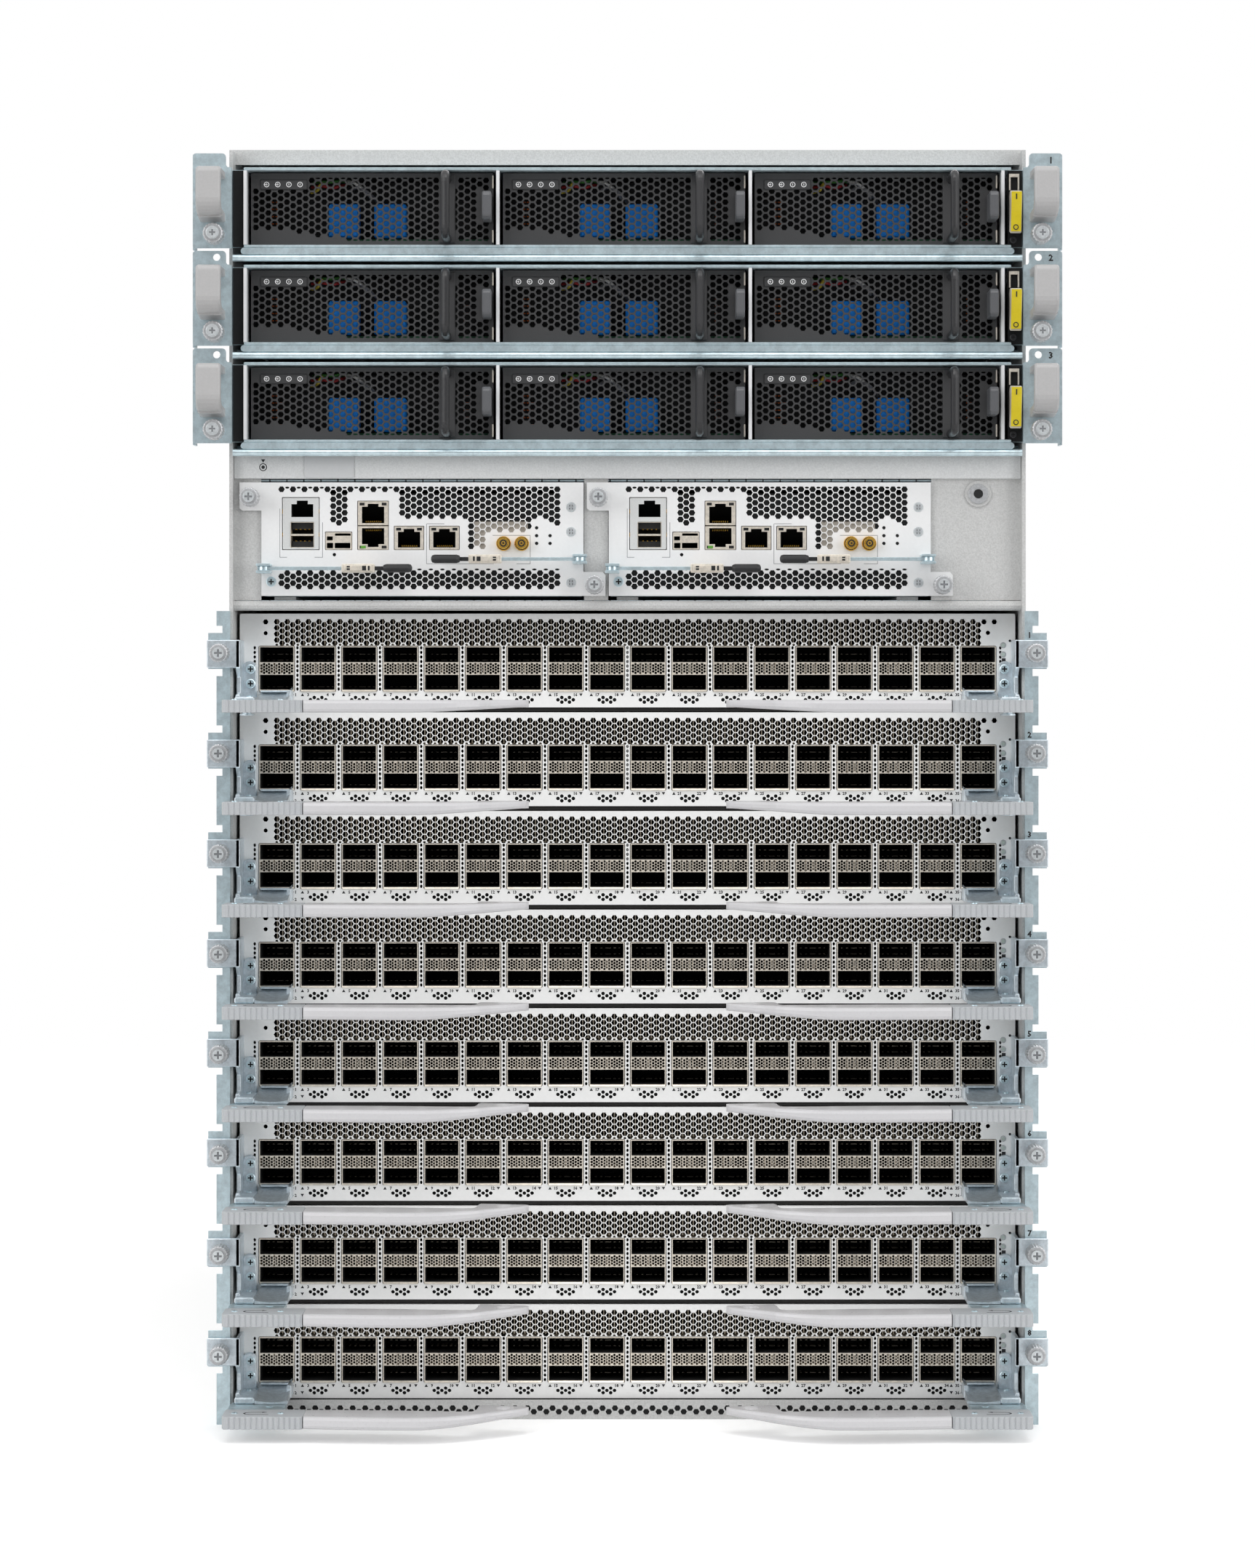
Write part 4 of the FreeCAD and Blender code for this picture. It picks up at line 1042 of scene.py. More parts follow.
# Painted shade: four small grey squares on the rivet stand for its shaded holes.
rivet = Shape().rod(0, -0.35, 0, 2.85, 0.7, "Y", 24, bevel=0.25)
rivet = joined(rivet.mesh(knob_cap), boxes(recess_shade_grey, *[
    (x - 0.3, x + 0.3, -0.76, -0.7, z - 0.55, z + 0.55) for x in (-0.75, 0.75) for z in (-0.8, 0.8)]))
sup_screws = joined(*[moved(rivet, 172.7, sup_face, z) for z in (49.5, 35.8, 7.4)],
                    moved(flat_screw, 5.5, sup_face, 7.9))
sup_knobs = [moved(knob, -5.7, sup_face, 54.6), moved(knob, sup_wide + 6.1, sup_face, 5.9)]


# ---------------------------------------------------------------- supervisor sockets
# Shielded jacks soldered to the blade's board: network jacks in nickel shields, a stack of a
# console jack over two USB ports, a small optical cage, and two gold coaxial clock jacks.
jack_white = moulded("pale grey socket plastic", "#cfd0cf", 0.4)
lamp_green = moulded("green lamp lens", "#5f9f3e", 0.3)


def network_jack(x0, x1, z0, z1, latch_up=True):
    """Shield, plastic and contacts of one modular jack; the latch notch is above or below."""
    mid, half, latch_half = (x0 + x1) / 2, 6.2, 3.0
    low, high = (z0 + 1.4, z1 - 3.3) if latch_up else (z0 + 3.3, z1 - 1.4)
    near, far, notch = (low, high, high + 1.6) if latch_up else (high, low, low - 1.6)
    hole = [(mid - half, near), (mid + half, near), (mid + half, far), (mid + latch_half, far),
            (mid + latch_half, notch), (mid - latch_half, notch), (mid - latch_half, far), (mid - half, far)]
    face = sheet_mesh([rectangle(x0 + 0.35, x1 - 0.35, z0 + 0.3, z1 - 0.3, 0.3), hole], [],
                      sup_face + 0.3, 0.5, nickel_cage)
    shield = Shape(sup_face).cup(x0 + 0.35, x1 - 0.35, 0.8, 20, z0 + 0.3, z1 - 0.3, 0.3)
    plastic = Shape(sup_face).cup(x0 + 0.8, x1 - 0.8, 0.85, 19, z0 + 0.8, z1 - 0.8, 0.6)
    lamp_z = z1 - 2.6 if latch_up else z0 + 0.9
    for x in (x0 + 1.3, x1 - 4.0):
        plastic.box(x, x + 2.7, 0.15, 0.35, lamp_z, lamp_z + 1.5)
    pin_z = low + 0.6 if latch_up else high - 1.4
    pin_x = [mid - 4.1 + 1.17 * k for k in range(8)]
    pins = boxes(gold_plate, *[(x - 0.22, x + 0.22, 3.5, 14, pin_z, pin_z + 0.8) for x in pin_x], y=sup_face)
    return joined(face, shield.mesh(nickel_cage), plastic.mesh(black_plastic_and_shade), pins)


jacks = [network_jack(73.9, 90.8, 25.6, 39.1), network_jack(93.5, 110.6, 25.6, 39.1),
         network_jack(53.5, 71.1, 39.2, 53.1), network_jack(53.5, 71.1, 25.6, 39.2, False)]
stack_face = sheet_mesh([rectangle(11.9, 32.1, 26.0, 54.7, 0.4), rectangle(16.0, 29.5, 26.8, 41.4, 0.5),
                         [(16.7, 44.0), (28.9, 44.0), (28.9, 51.2), (25.9, 51.2), (25.9, 53.2), (19.7, 53.2),
                          (19.7, 51.2), (16.7, 51.2)]], [], sup_face + 0.3, 0.8, jack_white)
stack = Shape(sup_face).cup(16.1, 29.4, 0.6, 18, 26.9, 41.3, 0.35)
stack.box(16.5, 29.0, 0.7, 17, 33.6, 34.6)
stack.cup(12.1, 31.9, 1.1, 20, 26.1, 54.6, 0.3)
stack_dark = Shape(sup_face).cup(16.5, 29.1, 1.2, 17, 43.8, 53.4, 0.3)
stack_dark.box(16.9, 28.7, 3, 17, 27.3, 30.6)
stack_dark.box(16.9, 28.7, 3, 17, 37.4, 40.9)
stack_dark.box(16.5, 29.0, 12, 17, 27.2, 41.0)
stack_gold = boxes(
    gold_plate, *[(x - 0.4, x + 0.4, 2.6, 11, z0, z1) for x in [19.2 + 2.45 * k for k in range(4)]
                  for z0, z1 in ((30.6, 30.9), (37.1, 37.4))],
    *[(x, x + 0.35, 0.2, 1.2, z, z + 2.4) for x in (11.6, 32.1) for z in (33, 46)], y=sup_face)
optic = sheet_mesh([rectangle(35.8, 50.4, 25.9, 35.6, 0.4), rectangle(40.9, 49.6, 26.6, 29.6, 0.2),
                    rectangle(36.5, 40.0, 26.6, 29.6, 0.2), rectangle(36.5, 39.8, 31.0, 33.2, 0.2),
                    rectangle(41.0, 49.8, 33.6, 34.9, 0.2)], [], sup_face + 0.3, 0.5, nickel_cage)
optic_box = Shape(sup_face).cup(35.8, 50.4, 0.8, 40, 25.9, 35.6, 0.3)
optic_dark = Shape(sup_face).cup(36.2, 50.0, 0.9, 39, 26.3, 35.2, 0.3)
coax, coax_dark, coax_pin = (Shape(sup_face) for _ in range(3))
for x, z in ((135.1, 29.2), (145.2, 29.2)):
    coax.rod(x, -1.2, z, 4.1, 2.9, "Y", 20, bevel=0.25)
    coax.rod(x, -6.0, z, 3.2, 4.8, "Y", 20, bevel=0.25)
    coax_pin.rod(x, -6.3, z, 1.25, 0.4, "Y", 14, bevel=0.15)
    # Painted shade: dark discs at each jack's bore, at its centre and at the step of its body.
    for y, radius, deep, sides in ((-6.1, 2.0, 0.2, 18), (-6.55, 0.5, 0.12, 10), (-1.3, 3.55, 0.15, 18)):
        coax_dark.rod(x, y, z, radius, deep, "Y", sides)
status = Shape(sup_face)
for x, z in lamp_places:
    status.rod(x, 0.7, z, 0.95, 1.5, "Y", 10)
sup_sockets = joined(
    *jacks, stack_face, stack.mesh(nickel_cage), stack_dark.mesh(black_plastic_and_shade), stack_gold, optic,
    optic_box.mesh(nickel_cage), optic_dark.mesh(black_plastic_and_shade), coax.mesh(gold_plate),
    coax_dark.mesh(black_plastic_and_shade), coax_pin.mesh(gold_plate), status.mesh(black_plastic_and_shade),
    boxes(lamp_green, (55.4, 58.2, 0.1, 0.32, 26.6, 28.0), y=sup_face))

line_ink = moulded("light grey screen print", "#8f8f92", 0.6)
sup_lines = boxes(line_ink, *[(x0, x1, -0.05, 0, z0, z1) for x0, x1, z0, z1 in (
    (10.2, 10.5, 21.4, 48.7), (10.5, 14.3, 21.4, 21.7), (34.0, 34.3, 21.4, 41.0), (29.7, 34.0, 21.4, 21.7),
    (92.0, 92.3, 17.8, 40.2), (92.3, 129.6, 17.8, 18.1), (142.3, 150.0, 17.8, 18.1),
    (129.0, 150.0, 33.6, 33.9), (149.8, 150.1, 17.8, 33.6), (92.3, 102.0, 40.1, 40.4))], y=sup_face)

sup_carrier = Shape(sup_face).box(1, sup_wide - 1, 9, 400, 0, 1.6)
sup_carrier.box(2, sup_wide - 2, 386, 398, 1.6, 40, bevel=0.8)
sup_inner = joined(
    sup_carrier.mesh(zinc_sheet), boxes(board_laminate, (4, sup_wide - 4, 9, 386, 2.6, 4.2), y=sup_face),
    boxes(bare_aluminium, (30, sup_wide - 30, 120, 220, 6.5, 9),
          *[(30.4 + k * 3.15, 31.3 + k * 3.15, 120, 220, 9, 50) for k in range(38)], y=sup_face))
for n, left in enumerate(sup_left):
    body = f"supervisor_{n + 1}"
    for name, mesh, slot in (
            ("faceplate", sup_plate, "white_paint"),
            ("screws", joined(sup_screws, *sup_knobs), "zinc_plate"),
            ("sockets", sup_sockets, "zinc_plate"), ("filter", sup_filter, "white_paint"),
            ("lines", sup_lines, "charcoal_paint"), ("board", sup_inner, "board_green")):
        finish_mesh(f"{body}_{name}", moved(mesh, left, 0, sup_z), body, (body,))


# ---------------------------------------------------------------- supervisor levers
# A flat zinc plated strip turns on a pin between two lugs beside the faceplate. It ends in a
# nickel latch block and a black moulded finger grip.
grip_black = moulded("black soft-touch grip", "#1b1b1d", 0.5, 0.5)
strip = Shape().box(-3.4, 45, -2.4, 2.4, -0.95, 0.95, bevel=0.2)
strip.rod(0, 0, -1.2, 3.3, 2.4, "Z", 16, bevel=0.2)
latch = Shape().box(43.5, 61.8, -4.6, 3.0, -2.4, 2.4, bevel=0.5)
latch.box(45.0, 60.5, -5.0, 3.2, -1.5, 1.5, bevel=0.3)
# Painted shade: flat black marks on the latch block stand for its shaded slots.
latch_slots = boxes(black_plastic_and_shade, *[(x0, x1, -5.06, -4.95, z0, z1) for x0, x1, z0, z1 in (
    (46.4, 48.2, -1.1, -0.1), (46.4, 48.2, 0.3, 1.2), (55.0, 57.2, -1.3, 1.3), (58.2, 59.2, -1.3, 1.3))])
grip = Shape().box(61.6, 67.4, -2.2, 2.2, -1.1, 1.1, bevel=0.3)
grip.loft([[(x, 3.4 * r / 2.4 * math.cos(2 * math.pi * k / 16) - 2.2, r * math.sin(2 * math.pi * k / 16))
            for k in range(16)] for x, r in (
                (66.2, 0.6), (66.8, 1.9), (68.4, 2.4), (80.6, 2.4), (82.0, 2.0), (82.6, 0.8))])
arm = joined(strip.mesh(zinc_sheet), latch.mesh(nickel_cage), latch_slots, grip.mesh(grip_black))
for n in (1, 2):
    body = f"supervisor_{n}"
    lugs = Shape()
    for hand in ("left", "right"):
        node = f"{body}_lever_{hand}"
        x, y, z = place[node + "_hinge"]
        finish_mesh(f"{node}_arm", moved(arm, x, y, z, mirror=hand == "right"), node, (node,))
        lugs.box(x - 4, x + 4, y - 4.6, sup_face, z - 2.6, z - 1.3, bevel=0.2)
        lugs.box(x - 4, x + 4, y - 4.6, sup_face, z + 1.3, z + 2.6, bevel=0.2)
        lugs.rod(x, y, z - 2.8, 1.6, 5.6, "Z", 14)
    finish_mesh(f"{body}_lugs", lugs.mesh(zinc_sheet), body, (body,))


# ---------------------------------------------------------------- spring gaskets
# Rows of plated spring fingers line the slots above and below the supervisors and the name
# bar, so that no noise leaks out between the panels.
finger = Shape().box(-4.4, 4.4, 0, 3, 0, 1.0, bevel=0.15)
spots = [(-214 + 9.5 * k, sup_face + 3, level)
         for level in (sup_z - 3.3, sup_z + sup_high + 0.5) for k in range(45)]
finish_mesh("gaskets", copies(finger.mesh(), spots, zinc_sheet), "chassis")


# ---------------------------------------------------------------- earthing socket
# A shielded press-in socket for a wrist strap, turned from nickel plated steel. It is pressed
# into the filler panel beside the supervisors.
jack = Shape(sup_face).rod(195.7, 0.3, 518.1, 5.6, 1.6, "Y", 24, bevel=0.3)
jack_hole = Shape(sup_face).rod(195.7, 0.1, 518.1, 2.6, 0.3, "Y", 18)
finish_mesh("earthing_socket", joined(jack.mesh(satin_knob), jack_hole.mesh(black_plastic_and_shade)), "chassis")


# ---------------------------------------------------------------- power trays
# Each tray is a folded zinc plated sleeve for three supplies, with a bright lip and a tube
# under its front edge, and an ear on each side that carries a painted strap handle.
tray_z = [place[f"power_switch_{n}_hinge"][2] - 17.75 for n in (1, 2, 3)]
switch_x = place["power_switch_1_hinge"][0]
tray_back = box_mm("power_tray_1")[1][1] - 14
strap_paint = powder_coat("warm silver handle paint", "#b2b1b1", 1.3, 0.45)
pocket_shade_black = moulded("black pocket shade", "#050506", 0.9)
psu_wide, psu_step = 135.53, 140.23
psu_left = [-209.9 + psu_step * k for k in range(3)]


def ear_sheet(with_hole):
    """The right ear, seen from the front: a plate with rounded corners beside its pocket."""
    outline = [(219.5, -2.5), (239.8, -2.5), (240.6, -2.2), (241.1, -1.4), (241.1, 48.4), (240.8, 49.3),
              (240.2, 49.9), (239.4, 50.1), (224.6, 50.1), (223.7, 49.8), (223.1, 49.2), (222.8, 48.2),
              (222.8, 43.8), (222.0, 42.6), (219.5, 42.2)]
    holes = round_holes(2.1, [(227.9, 46.6)] if with_hole else [])
    return sheet_mesh([outline], holes, front_y, 1.6, zinc_sheet)


def bend(y, z, radius, start, stop, steps=6):
    """Points along a bend seen from the side, in degrees from straight back, turning upwards."""
    turns = [math.radians(start + (stop - start) * k / steps) for k in range(steps + 1)]
    return [(y + radius * math.cos(t), z + radius * math.sin(t)) for t in turns]


handle_view = [(0, 11.8), (-16.0, 13.0)] + bend(-16.9, 22.8, 9.0, 275, 183)
handle_view += bend(-22.3, 36.6, 3.4, 180, 94) + [(0, 40.0), (0, 35.6), (-20.6, 35.6)]
handle_view += bend(-20.4, 34.8, 1.0, 100, 176, 3) + bend(-16.9, 22.8, 4.6, 180, 272) + [(0, 17.0)]
handle_rows = []
for x, pinch in ((223.1, 1.2), (223.5, 0.5), (224.4, 0.0), (235.6, 0.0), (236.5, 0.5), (236.9, 1.2)):
    row = []
    for k, (y, z) in enumerate(handle_view):
        ahead, behind = handle_view[(k + 1) % len(handle_view)], handle_view[k - 1]
        run = math.hypot(ahead[0] - behind[0], ahead[1] - behind[1])
        side = ((ahead[1] - behind[1]) / run, -(ahead[0] - behind[0]) / run)
        at_ear = y > -0.5
        row.append((x, y if at_ear else y + pinch * side[0], z + pinch * side[1] * (0.4 if at_ear else 1.0)))
    handle_rows.append(row)
strap = Shape(front_y).loft(handle_rows).mesh(strap_paint)
ear_cap = screw_head(3.6, 1.0, 1.7, knob_cap, pit_finish=recess_shade_grey)
ear_knob = joined(knurled_knob(5.7, 14.6, satin_knob), moved(ear_cap, y=-15.6))

sleeve = Shape()
sleeve.box(-213, 213, front_y + 2, tray_back, -1.8, -0.4, bevel=0.3)
sleeve.box(-213, 213, front_y + 2, tray_back, 41.0, 42.6, bevel=0.3)
sleeve.box(-213, 213, tray_back - 1.6, tray_back, -0.4, 41.0)
sleeve.prism(rectangle(-214.8, 214.8, -5.6, -1.9, 1.7), front_y + 2.2, front_y + 4.0, "Y", bevel=0.3)
sleeve.rod(-219.3, front_y + 4.0, -7.55, 1.95, 438.6, "X", 20)
for hand in (-1, 1):
    for x0, x1, y0, y1, z0, z1 in ((219.7, 220.9, 1.6, 7, -1.2, 41.2), (239.8, 241.2, 1.6, 11.6, -3.4, 49.6),
                                   (212.8, 219.6, 5.6, 7, -1.6, 41.6)):
        sleeve.box(*sorted((hand * x0, hand * x1)), front_y + y0, front_y + y1, z0, z1)
# Painted highlight: the zinc dividers are drawn near white, for the bright strips that their lit front edges
# show.
divider_highlight_white = powder_coat("white divider highlight", "#e6e7e8", 1.2, 0.3, 0.02)
divider_x = [x - psu_step + psu_wide + 1.45 for x in psu_left + [psu_left[-1] + psu_step]]
dividers = boxes(divider_highlight_white, *[(x, x + 1.8, front_y + 2.0, tray_back - 1.6, -0.3, 40.9)
                                  for x in divider_x])
# Painted shade: a black sheet at the back of each ear pocket stands in for the shade inside it.
recess = boxes(pocket_shade_black, *[(*sorted((hand * 211.3, hand * 219.4)), 4.9, 5.5, -1.4, 41.2)
                               for hand in (-1, 1)], y=front_y)

inlet, inlet_pins = Shape(tray_back), Shape(tray_back)
for x in [x0 + psu_wide * share for x0 in psu_left for share in (0.25, 0.75)]:
    rim = rectangle(x - 15.9, x + 15.9, 8.9, 31.7, 2.5)
    well = rectangle(x - 13.4, x + 13.4, 11.4, 29.2, 2.0)
    inlet.loft([[(a, y, b) for a, b in loop] for loop, y in ((rim, 0), (rim, 14), (well, 14), (well, 1))])
    for dx, dz in ((-6.5, -1.5), (6.5, -1.5), (0, 3.5)):
        inlet_pins.box(x + dx - 1, x + dx + 1, 1, 11, 20.3 + dz - 2.5, 20.3 + dz + 2.5, bevel=0.3)
rear_sockets = joined(inlet.mesh(black_plastic_and_shade), inlet_pins.mesh(bright_chrome))
blackened = moulded("blackened screw", "#2a2a2c", 0.35)
pocket_screw = moved(screw_head(1.9, 0.8, 1.1, blackened), 214.4, front_y + 4.9, 2.6)
sleeve = joined(sleeve.mesh(zinc_sheet), dividers)
for n, low in enumerate(tray_z):
    ear = ear_sheet(n > 0)
    trim = joined(ear, moved(ear, mirror=True), sleeve, pocket_screw)
    node = f"power_tray_{n + 1}"
    for name, mesh, slot in (
            ("sleeve", moved(trim, z=low), "zinc_plate"),
            ("recess", moved(recess, z=low), "charcoal_paint"),
            ("handles", joined(moved(strap, z=low), moved(strap, z=low, mirror=True)), "chassis_paint"),
            ("thumbscrews", joined(*[moved(ear_knob, x, front_y, low + 4.4) for x in (-228.6, 228.6)]),
             "zinc_plate"),
            ("inlets", moved(rear_sockets, z=low), "charcoal_paint"),
            ("number", text_mesh(str(n + 1), 3.6, 234.8, front_y - 0.04, low + 44.6), "charcoal_paint")):
        finish_mesh(f"{node}_{name}", mesh, node, (node,))


# ---------------------------------------------------------------- power supplies
# Nine modules in charcoal powder coated steel cases. Blue film capacitors, coloured leads and
# the board show through the honeycomb; a round bail and a sprung tab serve to draw them out.
charcoal = powder_coat("charcoal powder coat", "#333334", 1.2, 0.55)
inside_shade_black = moulded("black inside shade", "#0b0b0c", 0.7)
blue_film = moulded("glossy blue capacitor film", "#1b86ea", 0.3, 3.6, 0.5, 0.2)
copper = metal("enamelled copper wire", "#a4552b", 0.35, 0.4)
tab_plastic = moulded("dark grey latch plastic", "#5a5b5e", 0.45)
bail_paint = powder_coat("black bail paint", "#232325", 0.9, 0.36)
icon_white = moulded("white screen print", "#e6e6e6", 0.6)
psu_face = front_y + 9
psu_column, psu_pitch = 3.465, 4.03
psu_holes = []
for n in range(38):
    x = 131.1 - psu_column * n
    for k in range(9):
        z = 36.3 - psu_pitch * k - (psu_pitch / 2 if n % 2 else 0)
        if z < 3.4 or x < 2.3:
            continue
        if x < 33 and z > 31.4 or x < 21.5 and z < 9.5 or x < 34 and z < 7.2 or x < 53 and z < 5.6:
            continue
        if 104.6 < x < 111.8 or 104.6 < x < 115 and not 8 < z < 32:
            continue
        if x > 126.4 and 12.4 < z < 31.4:
            continue
        psu_holes.append((x, z, 1.77, 1.77, False))
    if n % 2 and x > 34 and not 104.6 < x < 115:
        psu_holes.append((x, 37.45, 1.3, 0.5, True))
        if x > 53:
            psu_holes.append((x, 3.05, 1.3, 0.5, True))
psu_front = sheet_mesh([rectangle(0.3, psu_wide - 0.3, 0.3, 40.3, 0.8)], psu_holes, psu_face, 1.2, charcoal)
case = Shape(psu_face).cup(0.3, psu_wide - 0.3, 1.2, 560, 0.3, 40.3, 1.0)
case.box(105.0, 114.0, -0.8, 0, 1.2, 39.4, bevel=0.4)
case.box(5.4, 31.5, -0.7, 0, 31.1, 36.7, bevel=0.5)
# Painted shade: a black lining and a black block inside the case stand in for the shade inside the supply.
dark_inside = Shape(psu_face).cup(1.4, psu_wide - 1.4, 1.3, 60, 1.4, 39.2, 0.3)
dark_inside.box(2, psu_wide - 2, 22, 58, 3.0, 38)
blocks = boxes(blue_film, (43.2, 60.2, 3.6, 16, 4.6, 23.6), (68.6, 86.6, 3.6, 16, 4.6, 23.6), y=psu_face,
               bevel=1.0)
psu_board = boxes(board_laminate, (34, 134, 3.0, 40, 2.2, 3.8), y=psu_face)
coil_z = (8.5, 12.5, 16.6, 20.7, 24.6)
coils = boxes(copper, *[(x - 1.1, x + 1.1, 6, 9, z, z + 0.6) for x in (11.5, 14.5, 17.0) for z in coil_z],
              *[(118.5, 121.5, 6, 9, z, z + 0.7) for z in coil_z[1:]], y=psu_face)


def wire(points, radius, finish):
    """A bent insulated lead through points given in millimetres."""
    curve = bpy.data.curves.new("lead", "CURVE")
    curve.dimensions = "3D"
    curve.bevel_depth = radius * MM
    curve.bevel_resolution = 1
    curve.use_fill_caps = True
    spline = curve.splines.new("NURBS")
    spline.points.add(len(points) - 1)
    for point, place_at in zip(spline.points, points):
        point.co = (*[c * MM for c in place_at], 1)
    spline.order_u = 3
    spline.use_endpoint_u = True
    spline.resolution_u = 5
    return painted(curve_mesh(curve), finish)


leads = []
for colour, name, points in (
        ("#b02a2e", "red", [(33, 12, 34), (40, 8, 34.5), (45, 7, 32.5), (50, 10, 35), (52, 18, 36)]),
        ("#3f7f35", "green", [(34, 14, 37), (40, 7, 36.5), (46, 6, 36), (50, 8, 37.5), (55, 18, 37)]),
        ("#d8c24a", "yellow", [(33, 12, 31), (37, 6, 31), (38, 6, 34), (40, 9, 37), (41, 20, 37.5)]),
        ("#d9d9d6", "white", [(52, 14, 37.5), (56, 6, 36.5), (60, 6, 34), (64, 9, 31), (66, 20, 29)]),
        ("#7a7b7e", "grey", [(54, 15, 32), (58, 7, 34), (63, 7, 32), (67, 8, 29), (70, 20, 26)])):
    finish = moulded(f"{name} lead insulation", colour, 0.4)
    leads.append(wire([(x, psu_face + y, z) for x, y, z in points], 0.9, finish))

bail_x, top_z, low_z, reach = psu_wide - 26, 36.6, 3.3, -28.5
spine = [(0, low_z)] + bend(reach + 4.5, low_z + 4.5, 4.5, 270, 180)
spine += bend(reach + 4.5, top_z - 4.5, 4.5, 180, 90) + [(0, top_z)]
bail_radius = 2.42
rings = []
for k, (y, z) in enumerate(spine):
    before, after = spine[max(k - 1, 0)], spine[min(k + 1, len(spine) - 1)]
    dy, dz = after[0] - before[0], after[1] - before[1]
    size = math.hypot(dy, dz)
    rings.append([(bail_x + bail_radius * math.cos(t), y + bail_radius * math.sin(t) * -dz / size,
                   z + bail_radius * math.sin(t) * dy / size) for t in [math.pi * m / 6 for m in range(12)]])
bail = Shape(psu_face).loft(rings)
tab_view = [(0, 12.8), (-17.5, 12.8), (-19.6, 14.6), (-19.6, 26.4), (-17.5, 28.2), (0, 28.2)]
tab = Shape(psu_face).prism(tab_view, psu_wide - 6.0, psu_wide - 1.0, "X", bevel=0.6)
clips = boxes(nickel_cage, *[(psu_wide - 1.0, psu_wide - 0.2, -0.9, 9, z0, z1)
                             for z0, z1 in ((31.8, 39.0), (1.6, 8.6))], y=psu_face, bevel=0.2)
icons, icon_centres, icon_bars = (Shape(psu_face) for _ in range(3))
for n, x in enumerate((9.0, 15.2, 21.4, 27.6)):
    icons.prism(circle(x, 33.9, 1.55, 12), -0.78, -0.7, "Y")
    icon_centres.prism(circle(x, 33.9, 1.1, 12), -0.84, -0.78, "Y")
    if n < 2:
        icon_bars.box(x - 1.6, x + 0.5, -0.9, -0.84, 33.7, 34.1)
    icon_bars.box(x - 0.2, x + 0.2, -0.9, -0.84, 33.3, 34.5)
supply = joined(psu_front, case.mesh(charcoal), dark_inside.mesh(inside_shade_black), blocks, psu_board, coils,
                *leads, bail.mesh(bail_paint), tab.mesh(tab_plastic), clips, icons.mesh(icon_white),
                icon_centres.mesh(charcoal), icon_bars.mesh(icon_white))
for row, low in enumerate(tray_z):
    for k, left in enumerate(psu_left):
        node = f"power_supply_{row + 1}_{k + 1}"
        finish_mesh(f"{node}_module", moved(supply, left, 0, low), node, (node,))


# ---------------------------------------------------------------- power switches
# A tall rocker in each right ear: a pale moulded paddle with a yellow face that bears the
# bar and ring signs, under a small nickel guard clip.
rocker_plastic = moulded("pale rocker plastic", "#cfc7b8", 0.4)
signal_yellow = moulded("signal yellow plastic", "#ead31f", 0.35, 1.2, 0.02, 0.05)
x0, x1 = switch_x - 3.25, switch_x + 3.25
paddle_view = [(3.4, 6.8), (-1.0, 5.6), (-3.4, 17.6), (-6.2, 28.6), (-0.5, 29.4), (3.4, 26.8)]
yellow_view = [(-1.45, 6.7), (-1.75, 6.7), (-3.75, 17.6), (-6.4, 28.2), (-6.05, 28.2), (-3.4, 17.6)]
paddle = Shape(front_y).prism(paddle_view, x0, x1, "X", bevel=0.5)
yellow = Shape(front_y).prism(yellow_view, x0 + 0.5, x1 - 0.3, "X")
signs = Shape(front_y).prism([(-6.2, 27.0), (-6.4, 27.0), (-5.75, 24.0), (-5.55, 24.0)],
                             switch_x - 0.3, switch_x + 0.3, "X")
ring_mark(signs, switch_x, 8.9, 1.05, 1.5, -2.42, 0.11)
rocker = joined(paddle.mesh(rocker_plastic), yellow.mesh(signal_yellow), signs.mesh(printed_ink))
guard = boxes(nickel_cage, (switch_x - 3.2, switch_x - 2.4, 3.4, 4.8, 30.2, 37.4),
              (switch_x + 1.6, switch_x + 2.4, 3.4, 4.8, 30.2, 37.4),
              (switch_x - 3.2, switch_x + 2.4, 3.4, 4.8, 37.4, 39.2), y=front_y)
for kind, name, mesh, slot in (("power_switch", "rocker", rocker, "yellow_plastic"),
                               ("power_tray", "switch_guard", guard, "zinc_plate")):
    for n, low in enumerate(tray_z):
        node = f"{kind}_{n + 1}"
        finish_mesh(f"{node}_{name}", moved(mesh, z=low), node, (node,))


# ---------------------------------------------------------------- fabric modules
# Eight upright circuit boards behind the line cards, which plug into every card's rear.
dress("fabric_modules", board_laminate)


# ---------------------------------------------------------------- fan trays
# Four columns of four fans at the rear, each column in a folded duct with a punched panel.
# A black foam filter closes the front of the duct and stands in for the shade inside (painted
# shade); wire finger guards cover the fans, and a strap across the middle draws the tray out.
fan_frame = powder_coat("dark grey fan tray coat", "#55565a", 1.4, 0.5)
fan_black = moulded("black fan plastic", "#1a1a1c", 0.45)
filter_foam_and_shade = moulded("black filter foam", "#0c0c0d", 0.9, 1.5, 0.2)
duct_deep, duct_wall = 150, 1.8
strap_view = [(-2, -36), (26, -36), (28, -34), (28, 34), (26, 36), (-2, 36), (-2, 31), (23, 31), (24, 30),
              (24, -30), (23, -31), (-2, -31)]


def hoop(shape, x, y, z, radius, half, steps=32):
    """A ring of square wire that faces the rear, with half the diagonal of its wire."""
    part = bmesh.new()
    loops = []
    for k in range(steps):
        turn = 2 * math.pi * k / steps
        loops.append([part.verts.new((
            (x + (radius + half * math.cos(a)) * math.cos(turn)) * MM,
            (shape.y + y + half * math.sin(a)) * MM,
            (z + (radius + half * math.cos(a)) * math.sin(turn)) * MM))
            for a in (0, math.pi / 2, math.pi, 3 * math.pi / 2)])
    for one, two in zip(loops, loops[1:] + loops[:1]):
        for m in range(4):
            part.faces.new((one[m], one[(m + 1) % 4], two[(m + 1) % 4], two[m]))
    shape.take(part)


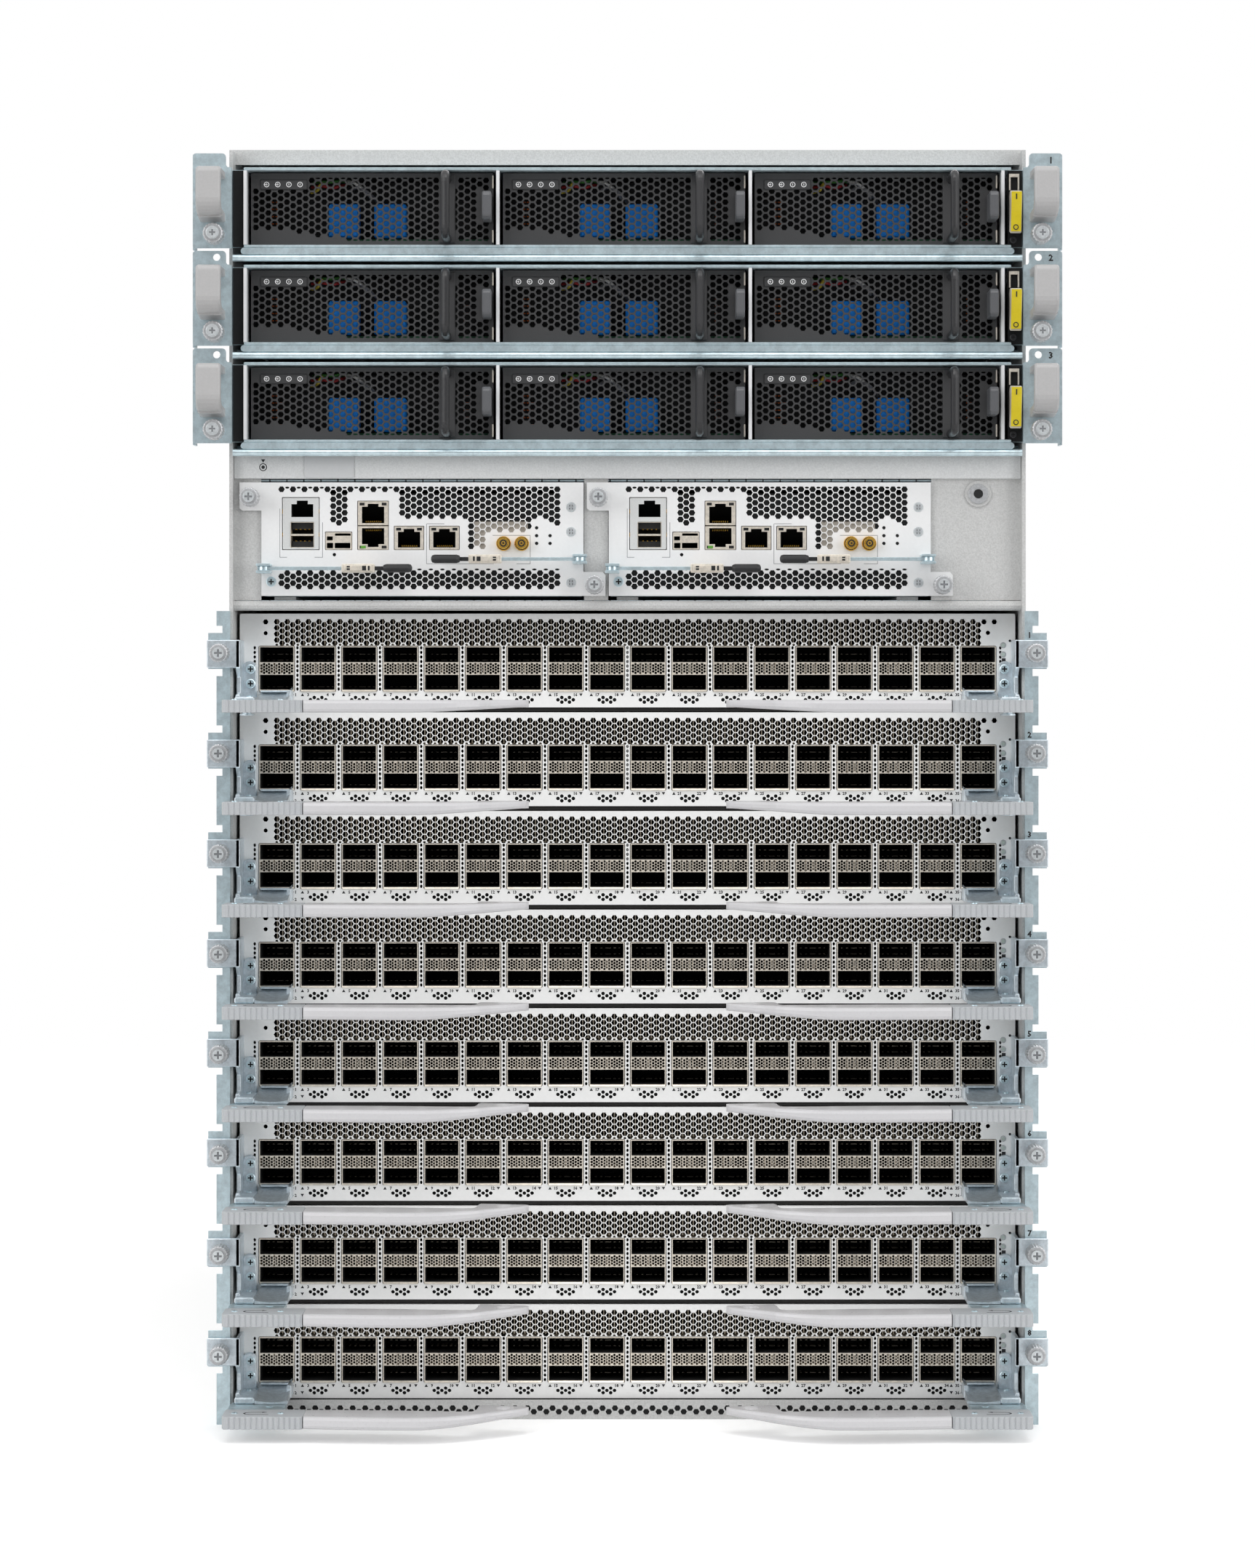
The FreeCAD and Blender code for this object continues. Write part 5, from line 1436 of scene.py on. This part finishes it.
for n in range(4):
    node = f"fan_tray_{n + 1}"
    low, high = (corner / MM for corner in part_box(node))
    x0, x1, rear_y, z0, z1 = low[0], high[0], high[1] - 28, low[2], high[2]
    middle, mid_z = (x0 + x1) / 2, (z0 + z1) / 2
    step = (z1 - z0) / 4
    radius = min((x1 - x0) / 2 - 4.5, step / 2 - 6)
    centres = [z0 + (k + 0.5) * step for k in range(4)]
    corners = round_holes(1.6, [(middle + a, z + b) for z in centres for a in (-46, 46) for b in (-46, 46)])
    panel = sheet_mesh([rectangle(x0, x1, z0, z1, 0.8)] + [circle(middle, z, radius, 40) for z in centres],
                       corners, rear_y - 3.8, 1.6, fan_frame)
    duct = Shape(rear_y)
    xa, xb = x0 + duct_wall, x1 - duct_wall
    for wall in ((x0, xa, z0, z1), (xb, x1, z0, z1), (xa, xb, z0, z0 + duct_wall),
                 (xa, xb, z1 - duct_wall, z1)):
        duct.box(*wall[:2], -duct_deep, -3.8, *wall[2:])
    duct.prism([(middle + x, y) for y, x in strap_view], mid_z - 4, mid_z + 4, "Z", bevel=0.5)
    foam_y = (1 - duct_deep, 9 - duct_deep)
    foam = Shape(rear_y).box(x0 + 1.9, x1 - 1.9, *foam_y, z0 + 1.9, z1 - 1.9)
    # Painted shade: foam also fills the gap to the next tray, standing in for the shade between the trays.
    if n < 3:
        foam.box(x1, box_mm(f"fan_tray_{n + 2}")[0][0] - 0.15, *foam_y, z0, z1)
    guard, rotor = Shape(rear_y), Shape(rear_y)
    for z in centres:
        for share in (0.28, 0.46, 0.64, 0.82, 0.98):
            hoop(guard, middle, -1.4, z, radius * share, 0.8)
        for turn in (45, 135, 225, 315):
            c, s = math.cos(math.radians(turn)), math.sin(math.radians(turn))
            guard.prism(stroke(*[(middle + c * radius * share, z + s * radius * share)
                                 for share in (0.26, 1.12)], 0.8), -3.0, -1.6, "Y")
        rotor.rod(middle, -30, z, radius * 0.36, 24, "Y", 24, bevel=0.8)
        for blade in range(7):
            start = 2 * math.pi * blade / 7
            rows = []
            for k in range(5):
                r = radius * (0.34 + 0.6 * k / 4)
                lead, trail = start + 0.12 * k, start + 0.62 + 0.12 * k
                rows.append([(middle + r * math.cos(a), y, z + r * math.sin(a)) for a, y in (
                    (lead, -10), (lead, -8.8), (trail, -26), (trail, -27.2))])
            rotor.loft(rows)
        rotor.box(x0 + 1.9, x1 - 1.9, -34, -30.5, z - 3, z + 3)
    frame_mesh = joined(panel, duct.mesh(fan_frame), foam.mesh(filter_foam_and_shade))
    for name, mesh, slot in (("frame", frame_mesh, "charcoal_paint"),
                             ("guards", guard.mesh(bright_chrome), "zinc_plate"),
                             ("rotors", rotor.mesh(fan_black), "charcoal_paint")):
        finish_mesh(f"{node}_{name}", mesh, node, (node,))
